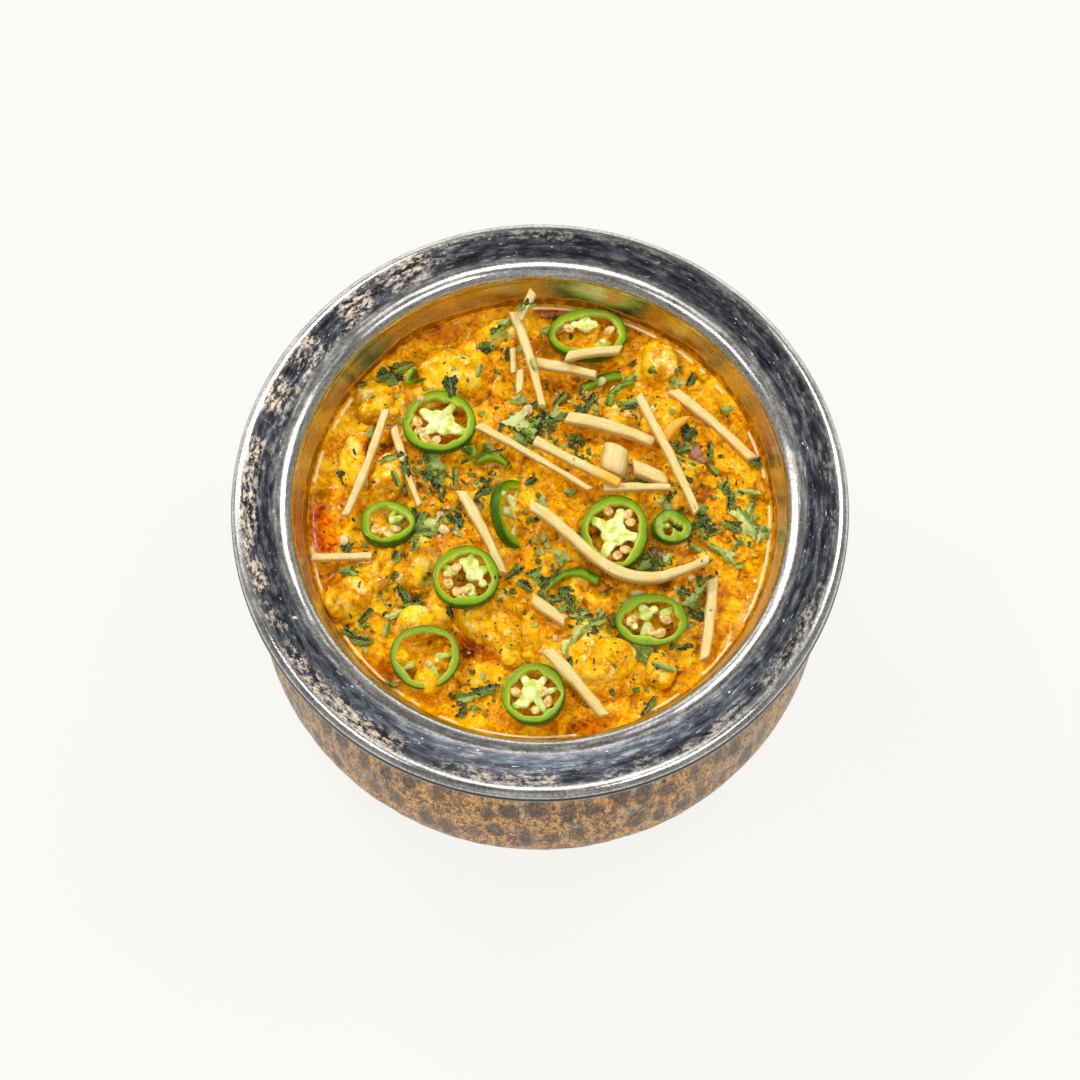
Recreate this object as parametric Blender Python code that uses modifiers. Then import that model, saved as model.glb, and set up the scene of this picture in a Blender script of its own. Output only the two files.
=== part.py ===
"""Chicken curry in its serving bowl: a hammered copper jacket, a steel liner with a broad rolled rim,
gravy filled round chicken pieces, and sliced green chilli and ginger sticks lying on top.

Units are metres, +Z is up, and the origin is at the centre of the bowl's flat foot.
The tables of loose pieces are in millimetres and degrees.
"""
import math

import bmesh
import bpy
import numpy as np
from mathutils import Matrix, Vector
from mathutils.bvhtree import BVHTree

MM = 0.001
SEGMENTS = 36

# bowl
RIM_RADIUS = 0.090
RIM_CREST = 0.096
RIM_OUTER_CREST = 0.0957
RIM_DIP = 0.0953
RIM_DIP_RADIUS = 0.0815
INNER_ROLL_CENTRE = (0.0765, 0.0912)
OUTER_ROLL_CENTRE = (0.0865, 0.0925)
CURL_END = -60
LINER_SHEET = 0.001
LINER_FLOOR = 0.020
LINER_FLOOR_RADIUS = 0.030
LINER_SHOULDER = 0.060
WALL_RADIUS_AT_GRAVY = 0.0685
WALL_SLOPE = 0.267
JACKET_SHEET = 0.0012
JACKET_TOP = 0.0940
NECK_RADIUS = 0.0805
NECK_HEIGHT = 0.088
BELLY_RADIUS = 0.0875
BELLY_HEIGHT = 0.032
FOOT_RADIUS = 0.058

# filling
GRAVY_LEVEL = 0.080
GRAVY_SWELL = 0.0022
GRAVY_RIPPLE = 0.0006
GRAVY_RINGS = (0.009, 0.021, 0.033, 0.044, 0.054, 0.0625)
GAP = 0.0003
CUT_GAP = 0.0005
WALL_CLEARANCE = 0.0009

# chicken pieces: x, y, length, width, rise above the gravy level, heading
CHICKEN = (
    (-9.5, 57.0, 19.0, 13.0, 4.8, 10),
    (-28.0, 44.0, 27.0, 18.5, 5.5, 18),
    (-49.0, 36.5, 13.5, 10.0, 4.2, -20),
    (-54.5, 17.0, 16.0, 8.5, 3.8, 84),
    (-45.0, 11.5, 14.5, 9.0, 4.4, 76),
    (35.0, 48.5, 12.5, 10.5, 4.5, 60),
    (24.0, 31.0, 10.5, 10.0, 4.4, 20),
    (36.5, 30.0, 12.5, 10.0, 4.6, 80),
    (-55.5, -24.5, 13.5, 12.5, 4.4, 50),
    (-46.2, -17.0, 13.0, 5.6, 4.2, 80),
    (-36.0, -15.0, 17.0, 11.2, 4.6, 74),
    (-34.0, -33.0, 15.5, 9.8, 4.4, 12),
    (-12.0, -33.0, 23.5, 20.5, 5.4, -28),
    (17.5, -44.0, 22.5, 22.5, 5.5, 40),
    (34.5, -48.0, 9.5, 7.2, 4.0, 70),
)
LARGE_PIECE = 18
CHICKEN_DEPTH = 0.8
CHICKEN_LOBE = 0.07

# ginger sticks: x, y, length, width, heading, bow sideways, pitch (None lies as it falls)
GINGER = (
    (7.5, 45.0, 19.0, 3.7, -14, 0.3, None),
    (16.0, 48.6, 16.5, 3.5, 8, 0.4, 0),
    (-8.0, 48.5, 8.0, 2.3, -88, 0.0, None),
    (-6.0, 41.0, 7.0, 2.6, -92, 0.0, None),
    (-3.5, 47.0, 32.5, 3.2, -75, 0.6, None),
    (-4.0, 63.4, 9.0, 2.9, -117, 0.0, -16),
    (-51.5, 15.5, 35.5, 2.9, -108, 0.5, None),
    (-39.4, 14.4, 25.5, 2.6, -72, -0.4, None),
    (-17.0, -6.5, 29.0, 3.7, -65, 0.6, None),
    (22.0, 15.6, 9.6, 7.6, -100, 0.0, None),
    (32.5, 11.8, 10.5, 5.2, -22, 0.0, None),
    (28.5, 6.4, 19.5, 2.7, 0, 0.2, None),
    (-1.6, 15.5, 38.5, 2.6, -32, 0.3, None),
    (11.0, 13.7, 28.5, 3.6, -30, -0.3, None),
    (40.3, 26.2, 11.0, 2.7, 47, 0.9, None),
    (21.0, 25.5, 27.0, 4.3, -18, 1.0, None),
    (51.5, 28.5, 32.0, 3.7, -44, 0.6, None),
    (37.5, 16.5, 40.5, 3.2, -66, 0.5, 0),
    (2.5, -30.5, 12.0, 4.0, -39, 0.0, None),
    (10.2, -53.8, 25.0, 4.1, -50, 0.3, -4),
    (-58.0, -13.5, 17.5, 2.9, 3, 0.0, None),
    (49.0, -32.5, 24.5, 3.7, -97, 0.3, None),
    (21.2, -13.8, 54.6, 4.3, -18, -12.0, 0),
)
GINGER_THICKNESS = 0.75
STEEPEST = 4
BOW_SKEW = 1.4
LONG_BOW = 5.0

# chilli rings: x, y, length, width, heading, wall, lean, lean heading, arms of the white core
CHILLI_RINGS = (
    (14.2, 57.6, 23.0, 17.4, 0, 2.8, 7, -90, 3),
    (-30.0, 27.3, 21.2, 19.5, 0, 2.8, 3, -60, 4),
    (-44.6, -3.9, 15.5, 15.0, 0, 2.3, 16, -90, 0),
    (-7.6, 0.5, 20.5, 18.5, 90, 2.7, 50, 180, 3),
    (21.6, -6.8, 22.5, 19.2, 90, 2.8, 5, -20, 4),
    (38.4, -4.7, 11.2, 9.8, 0, 3.0, 10, 180, 0),
    (31.8, -34.0, 20.5, 14.8, 0, 2.6, 18, 90, 3),
    (-33.1, -45.0, 19.5, 18.0, 0, 2.0, 10, 90, 0),
    (-1.4, -56.2, 17.8, 18.0, 0, 2.7, 9, -30, 3),
)
RING_ON_STICK = (-21.7, -22.2, 18.8, 18.6, 0, 2.7, 4, -60, 3)
RING_SEGMENTS = 12
RING_THICKNESS = 3.2
RING_SKIN_BULGE = 0.25
RING_LOBE = 0.03
CORE_THICKNESS = 2.2
CORE_VALLEY = 0.34

# how deep some pieces sit in the gravy
SUNK = {"chilli_ring_03": 1.0, "chilli_ring_04": 9.2, "ginger_21": 1.4}

# chilli strips: x, y, length, width, height, heading, bow
CHILLI_STRIPS = (
    (-14.0, 16.0, 9.0, 3.5, 3.0, -10, 2.0),
    (-21.0, 17.5, 5.0, 4.0, 2.4, 20, 0.8),
    (10.0, -22.0, 14.5, 3.2, 2.6, 6, 3.5),
    (18.5, 42.0, 12.5, 3.5, 2.6, 23, 1.0),
    (24.0, 37.5, 10.5, 2.3, 2.2, 48, 2.0),
    (-38.5, 43.0, 6.5, 4.9, 1.8, 10, 0.6),
)

# settling of the loose pieces
CELL = 0.00025
SETTLE_REACH = 0.074
SETTLE_GAP = 0.0004
SKY = 0.2


def clear_scene():
    for obj in list(bpy.data.objects):
        bpy.data.objects.remove(obj, do_unlink=True)


def make_material(name, colour, roughness, metallic):
    material = bpy.data.materials.new(name)
    material.use_nodes = True
    shader = material.node_tree.nodes["Principled BSDF"]
    shader.inputs["Base Color"].default_value = (*colour, 1.0)
    shader.inputs["Roughness"].default_value = roughness
    shader.inputs["Metallic"].default_value = metallic
    return material


def add_object(name, mesh, material, smooth=False):
    obj = bpy.data.objects.new(name, mesh)
    obj.data.materials.clear()
    obj.data.materials.append(material)
    for face in obj.data.polygons:
        face.use_smooth = smooth
    parts.objects.link(obj)
    return obj


def bake_modifiers(obj):
    """Replace the mesh by the one its modifiers make, cut into triangles."""
    graph = bpy.context.evaluated_depsgraph_get()
    mesh = bpy.data.meshes.new_from_object(obj.evaluated_get(graph))
    obj.modifiers.clear()
    obj.data = mesh
    triangulate(obj)


def triangulate(obj):
    bm = bmesh.new()
    bm.from_mesh(obj.data)
    bmesh.ops.triangulate(bm, faces=bm.faces[:])
    bmesh.ops.recalc_face_normals(bm, faces=bm.faces[:])
    bm.to_mesh(obj.data)
    bm.free()


def turned(name, profile, material, closed=False):
    """Turn a profile of (radius, height) points round Z."""
    mesh = bpy.data.meshes.new(name)
    edges = [(i, i + 1) for i in range(len(profile) - 1)]
    if closed:
        edges.append((len(profile) - 1, 0))
    mesh.from_pydata([(r, 0.0, z) for r, z in profile], edges, [])
    obj = add_object(name, mesh, material)
    screw = obj.modifiers.new("turn", "SCREW")
    screw.steps = SEGMENTS
    screw.render_steps = SEGMENTS
    screw.use_merge_vertices = True
    screw.merge_threshold = 0.00001
    screw.use_smooth_shade = True
    return obj


def arc(centre, size_r, size_z, start, end, steps):
    """Points of an elliptical arc in the radius and height plane."""
    points = []
    for i in range(steps + 1):
        angle = math.radians(start + (end - start) * i / steps)
        points.append((centre[0] + size_r * math.cos(angle), centre[1] + size_z * math.sin(angle)))
    return points


def wall_radius(height):
    """Radius of the liner's inside above its shoulder."""
    return WALL_RADIUS_AT_GRAVY + WALL_SLOPE * (height - GRAVY_LEVEL)


def liner_side(offset, start, end):
    """The liner's rounded lower side, moved outward by an offset."""
    size_r = wall_radius(LINER_SHOULDER) - LINER_FLOOR_RADIUS + offset
    size_z = LINER_SHOULDER - LINER_FLOOR + offset
    return arc((LINER_FLOOR_RADIUS, LINER_SHOULDER), size_r, size_z, start, end, 4)


def steel_liner(material):
    """Bowl-shaped sheet that rolls outward over the top and curls down at its outer edge."""
    sheet = LINER_SHEET
    inner_size = INNER_ROLL_CENTRE[0] - wall_radius(INNER_ROLL_CENTRE[1])
    inner_rise = RIM_CREST - INNER_ROLL_CENTRE[1]
    outer_size = RIM_RADIUS - OUTER_ROLL_CENTRE[0]
    outer_rise = RIM_OUTER_CREST - OUTER_ROLL_CENTRE[1]
    profile = [(0.0, LINER_FLOOR)]
    profile += liner_side(0.0, -90, 0)
    profile += [(wall_radius(GRAVY_LEVEL), GRAVY_LEVEL)]
    profile += arc(INNER_ROLL_CENTRE, inner_size, inner_rise, 180, 90, 4)
    profile += [(RIM_DIP_RADIUS, RIM_DIP)]
    profile += arc(OUTER_ROLL_CENTRE, outer_size, outer_rise, 90, CURL_END, 4)
    profile += arc(OUTER_ROLL_CENTRE, outer_size - sheet, outer_rise - sheet, CURL_END, 90, 3)
    profile += [(RIM_DIP_RADIUS, RIM_DIP - sheet)]
    profile += arc(INNER_ROLL_CENTRE, inner_size - sheet, inner_rise - sheet, 90, 180, 2)
    profile += [(wall_radius(GRAVY_LEVEL) + sheet, GRAVY_LEVEL)]
    profile += liner_side(sheet, 0, -90)
    profile += [(0.0, LINER_FLOOR - sheet)]
    return turned("steel_liner", profile, material)


def jacket_curve(offset, upper_steps, lower_steps):
    """The jacket's side from the neck down to the foot, moved inward by an offset."""
    points = []
    for i in range(upper_steps + 1):
        share = i / upper_steps
        turn = share * math.pi / 2
        radius = NECK_RADIUS + (BELLY_RADIUS - NECK_RADIUS) * math.sin(turn)
        fall = 0.5 * (1 - math.cos(turn)) + 0.5 * share
        points.append((radius - offset, NECK_HEIGHT + (BELLY_HEIGHT - NECK_HEIGHT) * fall))
    for i in range(1, lower_steps + 1):
        turn = i / lower_steps * math.pi / 2
        radius = FOOT_RADIUS + (BELLY_RADIUS - FOOT_RADIUS) * math.cos(turn)
        height = offset + (BELLY_HEIGHT - offset) * (1 - math.sin(turn))
        points.append((radius - offset * math.cos(turn), height))
    return points


def copper_jacket(material):
    """Round-bellied copper shell whose top edge stands inside the rolled rim."""
    sheet = JACKET_SHEET
    profile = [(0.0, sheet)]
    profile += reversed(jacket_curve(sheet, 4, 4))
    profile += [(NECK_RADIUS - sheet, JACKET_TOP), (NECK_RADIUS, JACKET_TOP)]
    profile += jacket_curve(0.0, 4, 5)
    profile += [(0.0, 0.0)]
    return turned("copper_jacket", profile, material)


def gravy_top(x, y):
    """Height of the gravy: a low swell with shallow ripples, level at the wall."""
    reach = math.hypot(x, y) / WALL_RADIUS_AT_GRAVY
    calm = max(0.0, 1.0 - reach ** 4)
    ripple = math.sin(210 * x + 70 * y + 0.8) + math.sin(190 * y - 90 * x + 2.1)
    return GRAVY_LEVEL + GRAVY_SWELL * (1.0 - reach ** 2) + GRAVY_RIPPLE * ripple * calm


def gravy_body(material):
    """Gravy that fills the liner up to its level, with a gently uneven top."""
    top = [(0.0, GRAVY_LEVEL)]
    top += [(radius, GRAVY_LEVEL) for radius in GRAVY_RINGS]
    profile = top + [(wall_radius(GRAVY_LEVEL) - GAP, GRAVY_LEVEL)]
    profile += liner_side(-GAP, 0, -90)
    profile += [(0.0, LINER_FLOOR + GAP)]
    obj = turned("gravy", profile, material)
    bake_modifiers(obj)
    for vertex in obj.data.vertices:
        if vertex.co.z > GRAVY_LEVEL - GAP and math.hypot(vertex.co.x, vertex.co.y) < GRAVY_RINGS[-1] + GAP:
            vertex.co.z = gravy_top(vertex.co.x, vertex.co.y)
    triangulate(obj)
    return obj


def chicken_piece(name, row, phase, material):
    """A rounded, lobed lump that stands a little out of the gravy."""
    x, y, length, width, rise, heading = row
    large = length > LARGE_PIECE
    bm = bmesh.new()
    bmesh.ops.create_uvsphere(bm, u_segments=12 if large else 8, v_segments=6, radius=1.0)
    depth = CHICKEN_DEPTH * min(length, width)
    centre = Vector((x * MM, y * MM, GRAVY_LEVEL + (rise - 0.5 * depth) * MM))
    turn = Matrix.Rotation(math.radians(heading), 3, "Z")
    for vertex in bm.verts:
        way = vertex.co.normalized()
        boxy = (abs(way.x) ** 3 + abs(way.y) ** 3 + abs(way.z) ** 3) ** (-1 / 3)
        around = math.atan2(way.y, way.x)
        lobe = 1 + CHICKEN_LOBE * math.sin(3 * around + phase) * (1 - way.z ** 2)
        lobe += CHICKEN_LOBE * 0.6 * math.sin(5 * around + 2 * phase + 3 * way.z) * (1 - way.z ** 2)
        size = Vector((length, width, depth)) * (0.5 * MM)
        local = Vector((way.x * size.x * lobe * boxy, way.y * size.y * lobe * boxy, way.z * size.z))
        place = centre + turn @ local
        reach = math.hypot(place.x, place.y)
        limit = wall_radius(place.z) - WALL_CLEARANCE
        if reach > limit:
            place.x *= limit / reach
            place.y *= limit / reach
        vertex.co = place
    bmesh.ops.triangulate(bm, faces=bm.faces[:])
    mesh = bpy.data.meshes.new(name)
    bm.to_mesh(mesh)
    bm.free()
    return add_object(name, mesh, material, smooth=True)


def cut_gravy(gravy, pieces):
    """Cut the gravy round each piece, a hair wider than the piece."""
    cutters = bpy.data.collections.new("spaces")
    bpy.context.scene.collection.children.link(cutters)
    for piece in pieces:
        mesh = piece.data.copy()
        normals = [vertex.normal.copy() for vertex in mesh.vertices]
        for vertex, normal in zip(mesh.vertices, normals):
            vertex.co += normal * CUT_GAP
        cutter = bpy.data.objects.new("space_" + piece.name, mesh)
        cutter.hide_render = True
        cutter.display_type = "WIRE"
        cutters.objects.link(cutter)
    cut = gravy.modifiers.new("room for pieces", "BOOLEAN")
    cut.operation = "DIFFERENCE"
    cut.solver = "EXACT"
    cut.operand_type = "COLLECTION"
    cut.collection = cutters
    bake_modifiers(gravy)
    for cutter in list(cutters.objects):
        bpy.data.objects.remove(cutter, do_unlink=True)
    bpy.data.collections.remove(cutters)
    keep_largest_body(gravy)


def keep_largest_body(obj):
    """Drop any crumb that the cutting left loose."""
    bm = bmesh.new()
    bm.from_mesh(obj.data)
    left = set(bm.verts)
    bodies = []
    while left:
        body = {left.pop()}
        edge_of_body = list(body)
        while edge_of_body:
            vertex = edge_of_body.pop()
            for edge in vertex.link_edges:
                other = edge.other_vert(vertex)
                if other in left:
                    left.discard(other)
                    body.add(other)
                    edge_of_body.append(other)
        bodies.append(body)
    bodies.sort(key=len)
    crumbs = [vertex for body in bodies[:-1] for vertex in body]
    bmesh.ops.delete(bm, geom=crumbs, context="VERTS")
    bm.to_mesh(obj.data)
    bm.free()


def cut_stick(name, length, width, height, bow, skew, phase, material):
    """A hand-cut stick along X, a little uneven in width, bent sideways by its bow."""
    steps = 10 if abs(bow) > LONG_BOW else 3
    bm = bmesh.new()
    bmesh.ops.create_cube(bm, size=1.0)
    for i in range(1, steps):
        geometry = bm.verts[:] + bm.edges[:] + bm.faces[:]
        place = Vector((i / steps - 0.5, 0.0, 0.0))
        bmesh.ops.bisect_plane(bm, geom=geometry, plane_co=place, plane_no=Vector((1.0, 0.0, 0.0)))
    for vertex in bm.verts:
        share = vertex.co.x + 0.5
        waver = 1 + 0.07 * math.sin(5 * share + phase) - 0.18 * share
        upper = 0.86 if vertex.co.z > 0 else 1.0
        slant = 0.5 * width * math.sin(phase) * vertex.co.y
        side = bow * math.sin(math.pi * share ** skew)
        across = vertex.co.y * width * waver * upper
        vertex.co = Vector((vertex.co.x * length + slant, across + side, vertex.co.z * height)) * MM
    bmesh.ops.recalc_face_normals(bm, faces=bm.faces[:])
    mesh = bpy.data.meshes.new(name)
    bm.to_mesh(mesh)
    bm.free()
    return add_object(name, mesh, material)


def chilli_ring(name, row, phase, material):
    """A slice of chilli: a lobed ring of flesh, with the white core standing in it on its arms."""
    x, y, length, width, heading, wall, lean, lean_heading, arms = row
    radius = 0.25 * (length + width) * MM
    half = 0.5 * RING_THICKNESS * MM
    inside = radius - wall * MM
    profile = [(radius, half), (radius + RING_SKIN_BULGE * MM, 0.0), (radius, -half)]
    profile += [(inside, -0.85 * half), (inside, 0.85 * half)]
    obj = turned(name, profile, material, closed=True)
    obj.modifiers["turn"].steps = RING_SEGMENTS
    obj.modifiers["turn"].render_steps = RING_SEGMENTS
    bake_modifiers(obj)
    if arms:
        add_core(obj, radius - 0.5 * wall * MM, inside, arms, phase)
    for vertex in obj.data.vertices:
        around = math.atan2(vertex.co.y, vertex.co.x)
        lobe = 1 + RING_LOBE * math.cos(3 * around + phase)
        vertex.co.x *= lobe * length / (length + width) * 2
        vertex.co.y *= lobe * width / (length + width) * 2
    turn = Matrix.Rotation(math.radians(heading), 4, "Z")
    tilt_axis = Vector((math.sin(math.radians(lean_heading)), -math.cos(math.radians(lean_heading)), 0.0))
    obj.data.transform(Matrix.Rotation(math.radians(lean), 4, tilt_axis) @ turn)
    return obj


def add_core(ring, reach, inside, arms, phase):
    """Join a star-shaped prism into a ring; its points end inside the ring's wall."""
    bm = bmesh.new()
    bmesh.ops.create_circle(bm, cap_ends=True, segments=2 * arms, radius=reach)
    for i, vertex in enumerate(sorted(bm.verts, key=lambda v: math.atan2(v.co.y, v.co.x))):
        if i % 2:
            vertex.co *= CORE_VALLEY * inside / reach
        vertex.co.z = -0.5 * CORE_THICKNESS * MM
    grown = bmesh.ops.extrude_face_region(bm, geom=bm.faces[:])
    for item in grown["geom"]:
        if isinstance(item, bmesh.types.BMVert):
            item.co.z = 0.5 * CORE_THICKNESS * MM
    bmesh.ops.rotate(bm, verts=bm.verts[:], cent=(0, 0, 0), matrix=Matrix.Rotation(phase, 3, "Z"))
    bmesh.ops.recalc_face_normals(bm, faces=bm.faces[:])
    mesh = bpy.data.meshes.new("core")
    bm.to_mesh(mesh)
    bm.free()
    core = bpy.data.objects.new("core", mesh)
    parts.objects.link(core)
    join = ring.modifiers.new("join core", "BOOLEAN")
    join.operation = "UNION"
    join.solver = "EXACT"
    join.object = core
    bake_modifiers(ring)
    bpy.data.objects.remove(core, do_unlink=True)


def tree_of(objects):
    """One search tree over the meshes of several objects."""
    vertices = []
    faces = []
    for obj in objects:
        graph = bpy.context.evaluated_depsgraph_get()
        mesh = obj.evaluated_get(graph).to_mesh()
        start = len(vertices)
        vertices += [vertex.co.copy() for vertex in mesh.vertices]
        faces += [[start + i for i in face.vertices] for face in mesh.polygons]
    return BVHTree.FromPolygons(vertices, faces)


class Bed:
    """Height map of all that already lies in the bowl, on a square grid."""

    def __init__(self, objects):
        self.count = int(2 * SETTLE_REACH / CELL)
        self.heights = np.full((self.count, self.count), -1.0)
        self.raise_by(tree_of(objects), (0, self.count, 0, self.count), 0.0)

    def place(self, i):
        return (i + 0.5) * CELL - SETTLE_REACH

    def window(self, obj):
        """Rows and columns of the grid under an object."""
        xs = [vertex.co.x for vertex in obj.data.vertices]
        ys = [vertex.co.y for vertex in obj.data.vertices]
        bounds = []
        for low, high in ((min(xs), max(xs)), (min(ys), max(ys))):
            bounds.append(max(0, int((low + SETTLE_REACH) / CELL) - 1))
            bounds.append(min(self.count, int((high + SETTLE_REACH) / CELL) + 2))
        return bounds

    def raise_by(self, tree, window, shift):
        for i in range(window[0], window[1]):
            for j in range(window[2], window[3]):
                hit = tree.ray_cast(Vector((self.place(i), self.place(j), SKY)), Vector((0, 0, -1)))
                if hit[0] is not None:
                    self.heights[i, j] = max(self.heights[i, j], hit[0].z + shift)

    def widened(self, window):
        """Heights in a window, each the highest within two cells of it."""
        grown = np.full((window[1] - window[0], window[3] - window[2]), -1.0)
        padded = np.pad(self.heights, 2, constant_values=-1.0)
        for di in range(5):
            for dj in range(5):
                part = padded[window[0] + di:window[1] + di, window[2] + dj:window[3] + dj]
                grown = np.maximum(grown, part)
        return grown

    def gap_under(self, obj):
        """Smallest free height between an object and what lies below it."""
        window = self.window(obj)
        below = self.widened(window)
        tree = tree_of([obj])
        gap = SKY
        for i in range(window[0], window[1]):
            for j in range(window[2], window[3]):
                hit = tree.ray_cast(Vector((self.place(i), self.place(j), -1.0)), Vector((0, 0, 1)))
                if hit[0] is not None:
                    gap = min(gap, hit[0].z - below[i - window[0], j - window[2]])
        return gap

    def height_near(self, x, y):
        i = int((x + SETTLE_REACH) / CELL)
        j = int((y + SETTLE_REACH) / CELL)
        return float(self.heights[max(0, i - 4):i + 5, max(0, j - 4):j + 5].max())

    def settle(self, obj):
        """Lower an object straight down until it rests or sinks in, and count it as part of the bed."""
        depth = SUNK.get(obj.name, 0.0) * MM
        obj.data.transform(Matrix.Translation((0, 0, SETTLE_GAP - depth - self.gap_under(obj))))
        obj.data.update()
        self.raise_by(tree_of([obj]), self.window(obj), 0.0)


def resting_pitch(bed, x, y, length, heading):
    """Slope of a straight stick laid over the bed, held up on both sides of its middle."""
    way = Vector((math.cos(heading), math.sin(heading)))
    marks = [0.48 * length * (i / 10 - 1) for i in range(21)]
    heights = [bed.height_near(x + way.x * mark, y + way.y * mark) for mark in marks]
    best = -1.0
    slope = 0.0
    for i in range(10):
        for j in range(11, 21):
            rise = (heights[j] - heights[i]) / (marks[j] - marks[i])
            middle = heights[i] - rise * marks[i]
            if middle > best:
                best = middle
                slope = rise
    steepest = math.radians(STEEPEST)
    return max(-steepest, min(steepest, math.atan(slope)))


def lay_stick(bed, obj, x, y, length, heading, pitch):
    angle = math.radians(heading)
    if pitch is None:
        tilt = resting_pitch(bed, x * MM, y * MM, length * MM, angle)
    else:
        tilt = math.radians(pitch)
    turn = Matrix.Rotation(angle, 4, "Z") @ Matrix.Rotation(-tilt, 4, "Y")
    obj.data.transform(Matrix.Translation((x * MM, y * MM, SKY / 2)) @ turn)
    bed.settle(obj)


def lay_ginger(bed, material):
    for i, (x, y, length, width, heading, bow, pitch) in enumerate(GINGER):
        skew = BOW_SKEW if abs(bow) > LONG_BOW else 1.0
        name = "ginger_%02d" % (i + 1)
        stick = cut_stick(name, length, width, width * GINGER_THICKNESS, bow, skew, 1.7 * i, material)
        if i == len(GINGER) - 1:
            stick.data.transform(Matrix.Translation((0, -0.5 * bow * MM, 0)))
        lay_stick(bed, stick, x, y, length, heading, pitch)


def lay_ring(bed, name, row, phase, material):
    ring = chilli_ring(name, row, phase, material)
    ring.data.transform(Matrix.Translation((row[0] * MM, row[1] * MM, SKY / 2)))
    bed.settle(ring)


def lay_strips(bed, material):
    for i, (x, y, length, width, height, heading, bow) in enumerate(CHILLI_STRIPS):
        name = "chilli_strip_%02d" % (i + 1)
        strip = cut_stick(name, length, width, height, bow, 1.0, 0.9 * i, material)
        lay_stick(bed, strip, x, y, length, heading, None)


clear_scene()
parts = bpy.data.collections.new("chicken_curry")
bpy.context.scene.collection.children.link(parts)

copper = make_material("copper", (0.62, 0.36, 0.22), 0.45, 1.0)
steel = make_material("steel", (0.62, 0.61, 0.58), 0.25, 1.0)
sauce = make_material("sauce", (0.85, 0.36, 0.03), 0.35, 0.0)
meat = make_material("meat", (0.90, 0.50, 0.12), 0.45, 0.0)
root = make_material("root", (0.88, 0.76, 0.46), 0.55, 0.0)
pepper = make_material("pepper", (0.16, 0.38, 0.03), 0.30, 0.0)

copper_jacket(copper)
liner = steel_liner(steel)
filling = gravy_body(sauce)
lumps = [chicken_piece("chicken_%02d" % (i + 1), row, 1.3 * i, meat) for i, row in enumerate(CHICKEN)]

settling = Bed([liner, filling] + lumps)
for number, ring_row in enumerate(CHILLI_RINGS):
    lay_ring(settling, "chilli_ring_%02d" % (number + 1), ring_row, 1.1 * number, pepper)
lay_strips(settling, pepper)
lay_ginger(settling, root)
lay_ring(settling, "chilli_ring_10", RING_ON_STICK, 0.4, pepper)
cut_gravy(filling, lumps + [parts.objects[name] for name in SUNK])
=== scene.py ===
import math
import random

import bmesh
import bpy
import numpy as np
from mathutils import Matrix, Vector
from mathutils.bvhtree import BVHTree


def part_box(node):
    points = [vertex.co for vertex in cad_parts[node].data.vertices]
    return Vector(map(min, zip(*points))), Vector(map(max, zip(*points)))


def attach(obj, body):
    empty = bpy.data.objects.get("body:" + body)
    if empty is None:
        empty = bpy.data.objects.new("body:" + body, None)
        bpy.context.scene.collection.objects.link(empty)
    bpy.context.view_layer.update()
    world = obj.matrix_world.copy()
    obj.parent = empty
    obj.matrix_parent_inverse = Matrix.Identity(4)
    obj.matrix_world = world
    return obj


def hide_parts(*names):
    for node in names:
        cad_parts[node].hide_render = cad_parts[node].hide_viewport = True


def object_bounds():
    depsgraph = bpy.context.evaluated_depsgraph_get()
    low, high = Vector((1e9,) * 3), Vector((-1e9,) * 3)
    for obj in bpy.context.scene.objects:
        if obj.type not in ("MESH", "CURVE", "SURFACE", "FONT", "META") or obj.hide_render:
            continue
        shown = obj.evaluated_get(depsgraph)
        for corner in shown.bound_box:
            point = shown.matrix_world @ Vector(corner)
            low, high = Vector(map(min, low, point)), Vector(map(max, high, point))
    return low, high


# Chicken curry in a hammered copper bowl with a steel liner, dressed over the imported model.
# Lengths are in metres; values whose names end in Mm are in millimetres.

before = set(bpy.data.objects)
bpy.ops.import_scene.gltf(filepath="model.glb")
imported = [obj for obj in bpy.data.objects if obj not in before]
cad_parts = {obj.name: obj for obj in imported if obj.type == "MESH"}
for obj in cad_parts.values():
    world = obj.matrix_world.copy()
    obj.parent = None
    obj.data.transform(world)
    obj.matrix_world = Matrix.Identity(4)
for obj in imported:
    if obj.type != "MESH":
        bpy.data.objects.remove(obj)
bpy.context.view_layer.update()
mm = 0.001
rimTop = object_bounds()[1].z
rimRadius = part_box("steel_liner")[1].x
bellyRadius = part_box("copper_jacket")[1].x
print("frame loaded:", len(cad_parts), "nodes")


# small helpers for numbers

def tone(red, green, blue):
    # screen colour, 0 to 255, as the linear values that the shaders use
    values = [channel / 255 for channel in (red, green, blue)]
    return tuple(v / 12.92 if v <= 0.04045 else ((v + 0.055) / 1.055) ** 2.4 for v in values) + (1.0,)


def mixed(a, b, share):
    return a + (b - a) * share


def smooth(value, low, high):
    # 0 below low, 1 above high, with a soft turn between
    share = np.clip((value - low) / (high - low), 0.0, 1.0)
    return share * share * (3 - 2 * share)


def scramble(cells, seed):
    # one repeatable number from 0 to 1 for every whole-number cell
    key = cells[:, 0] * 374761393 + cells[:, 1] * 668265263 + cells[:, 2] * 1440662683 + seed * 974634777
    key = (key ^ (key >> 13)) * 1274126177
    return ((key ^ (key >> 16)) & 0xFFFF) / 65535.0


def waver(points, sizeMm, seed):
    # soft noise from -1 to 1 with bumps of the given size
    places = points / (sizeMm * mm) + 17.3
    cells = np.floor(places).astype(np.int64)
    part = places - cells
    part = part * part * (3 - 2 * part)
    total = np.zeros(len(points))
    for corner in range(8):
        step = np.array([corner & 1, (corner >> 1) & 1, (corner >> 2) & 1])
        weight = np.prod(np.where(step, part, 1 - part), axis=1)
        total += weight * scramble(cells + step, seed)
    return total * 2 - 1


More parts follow.
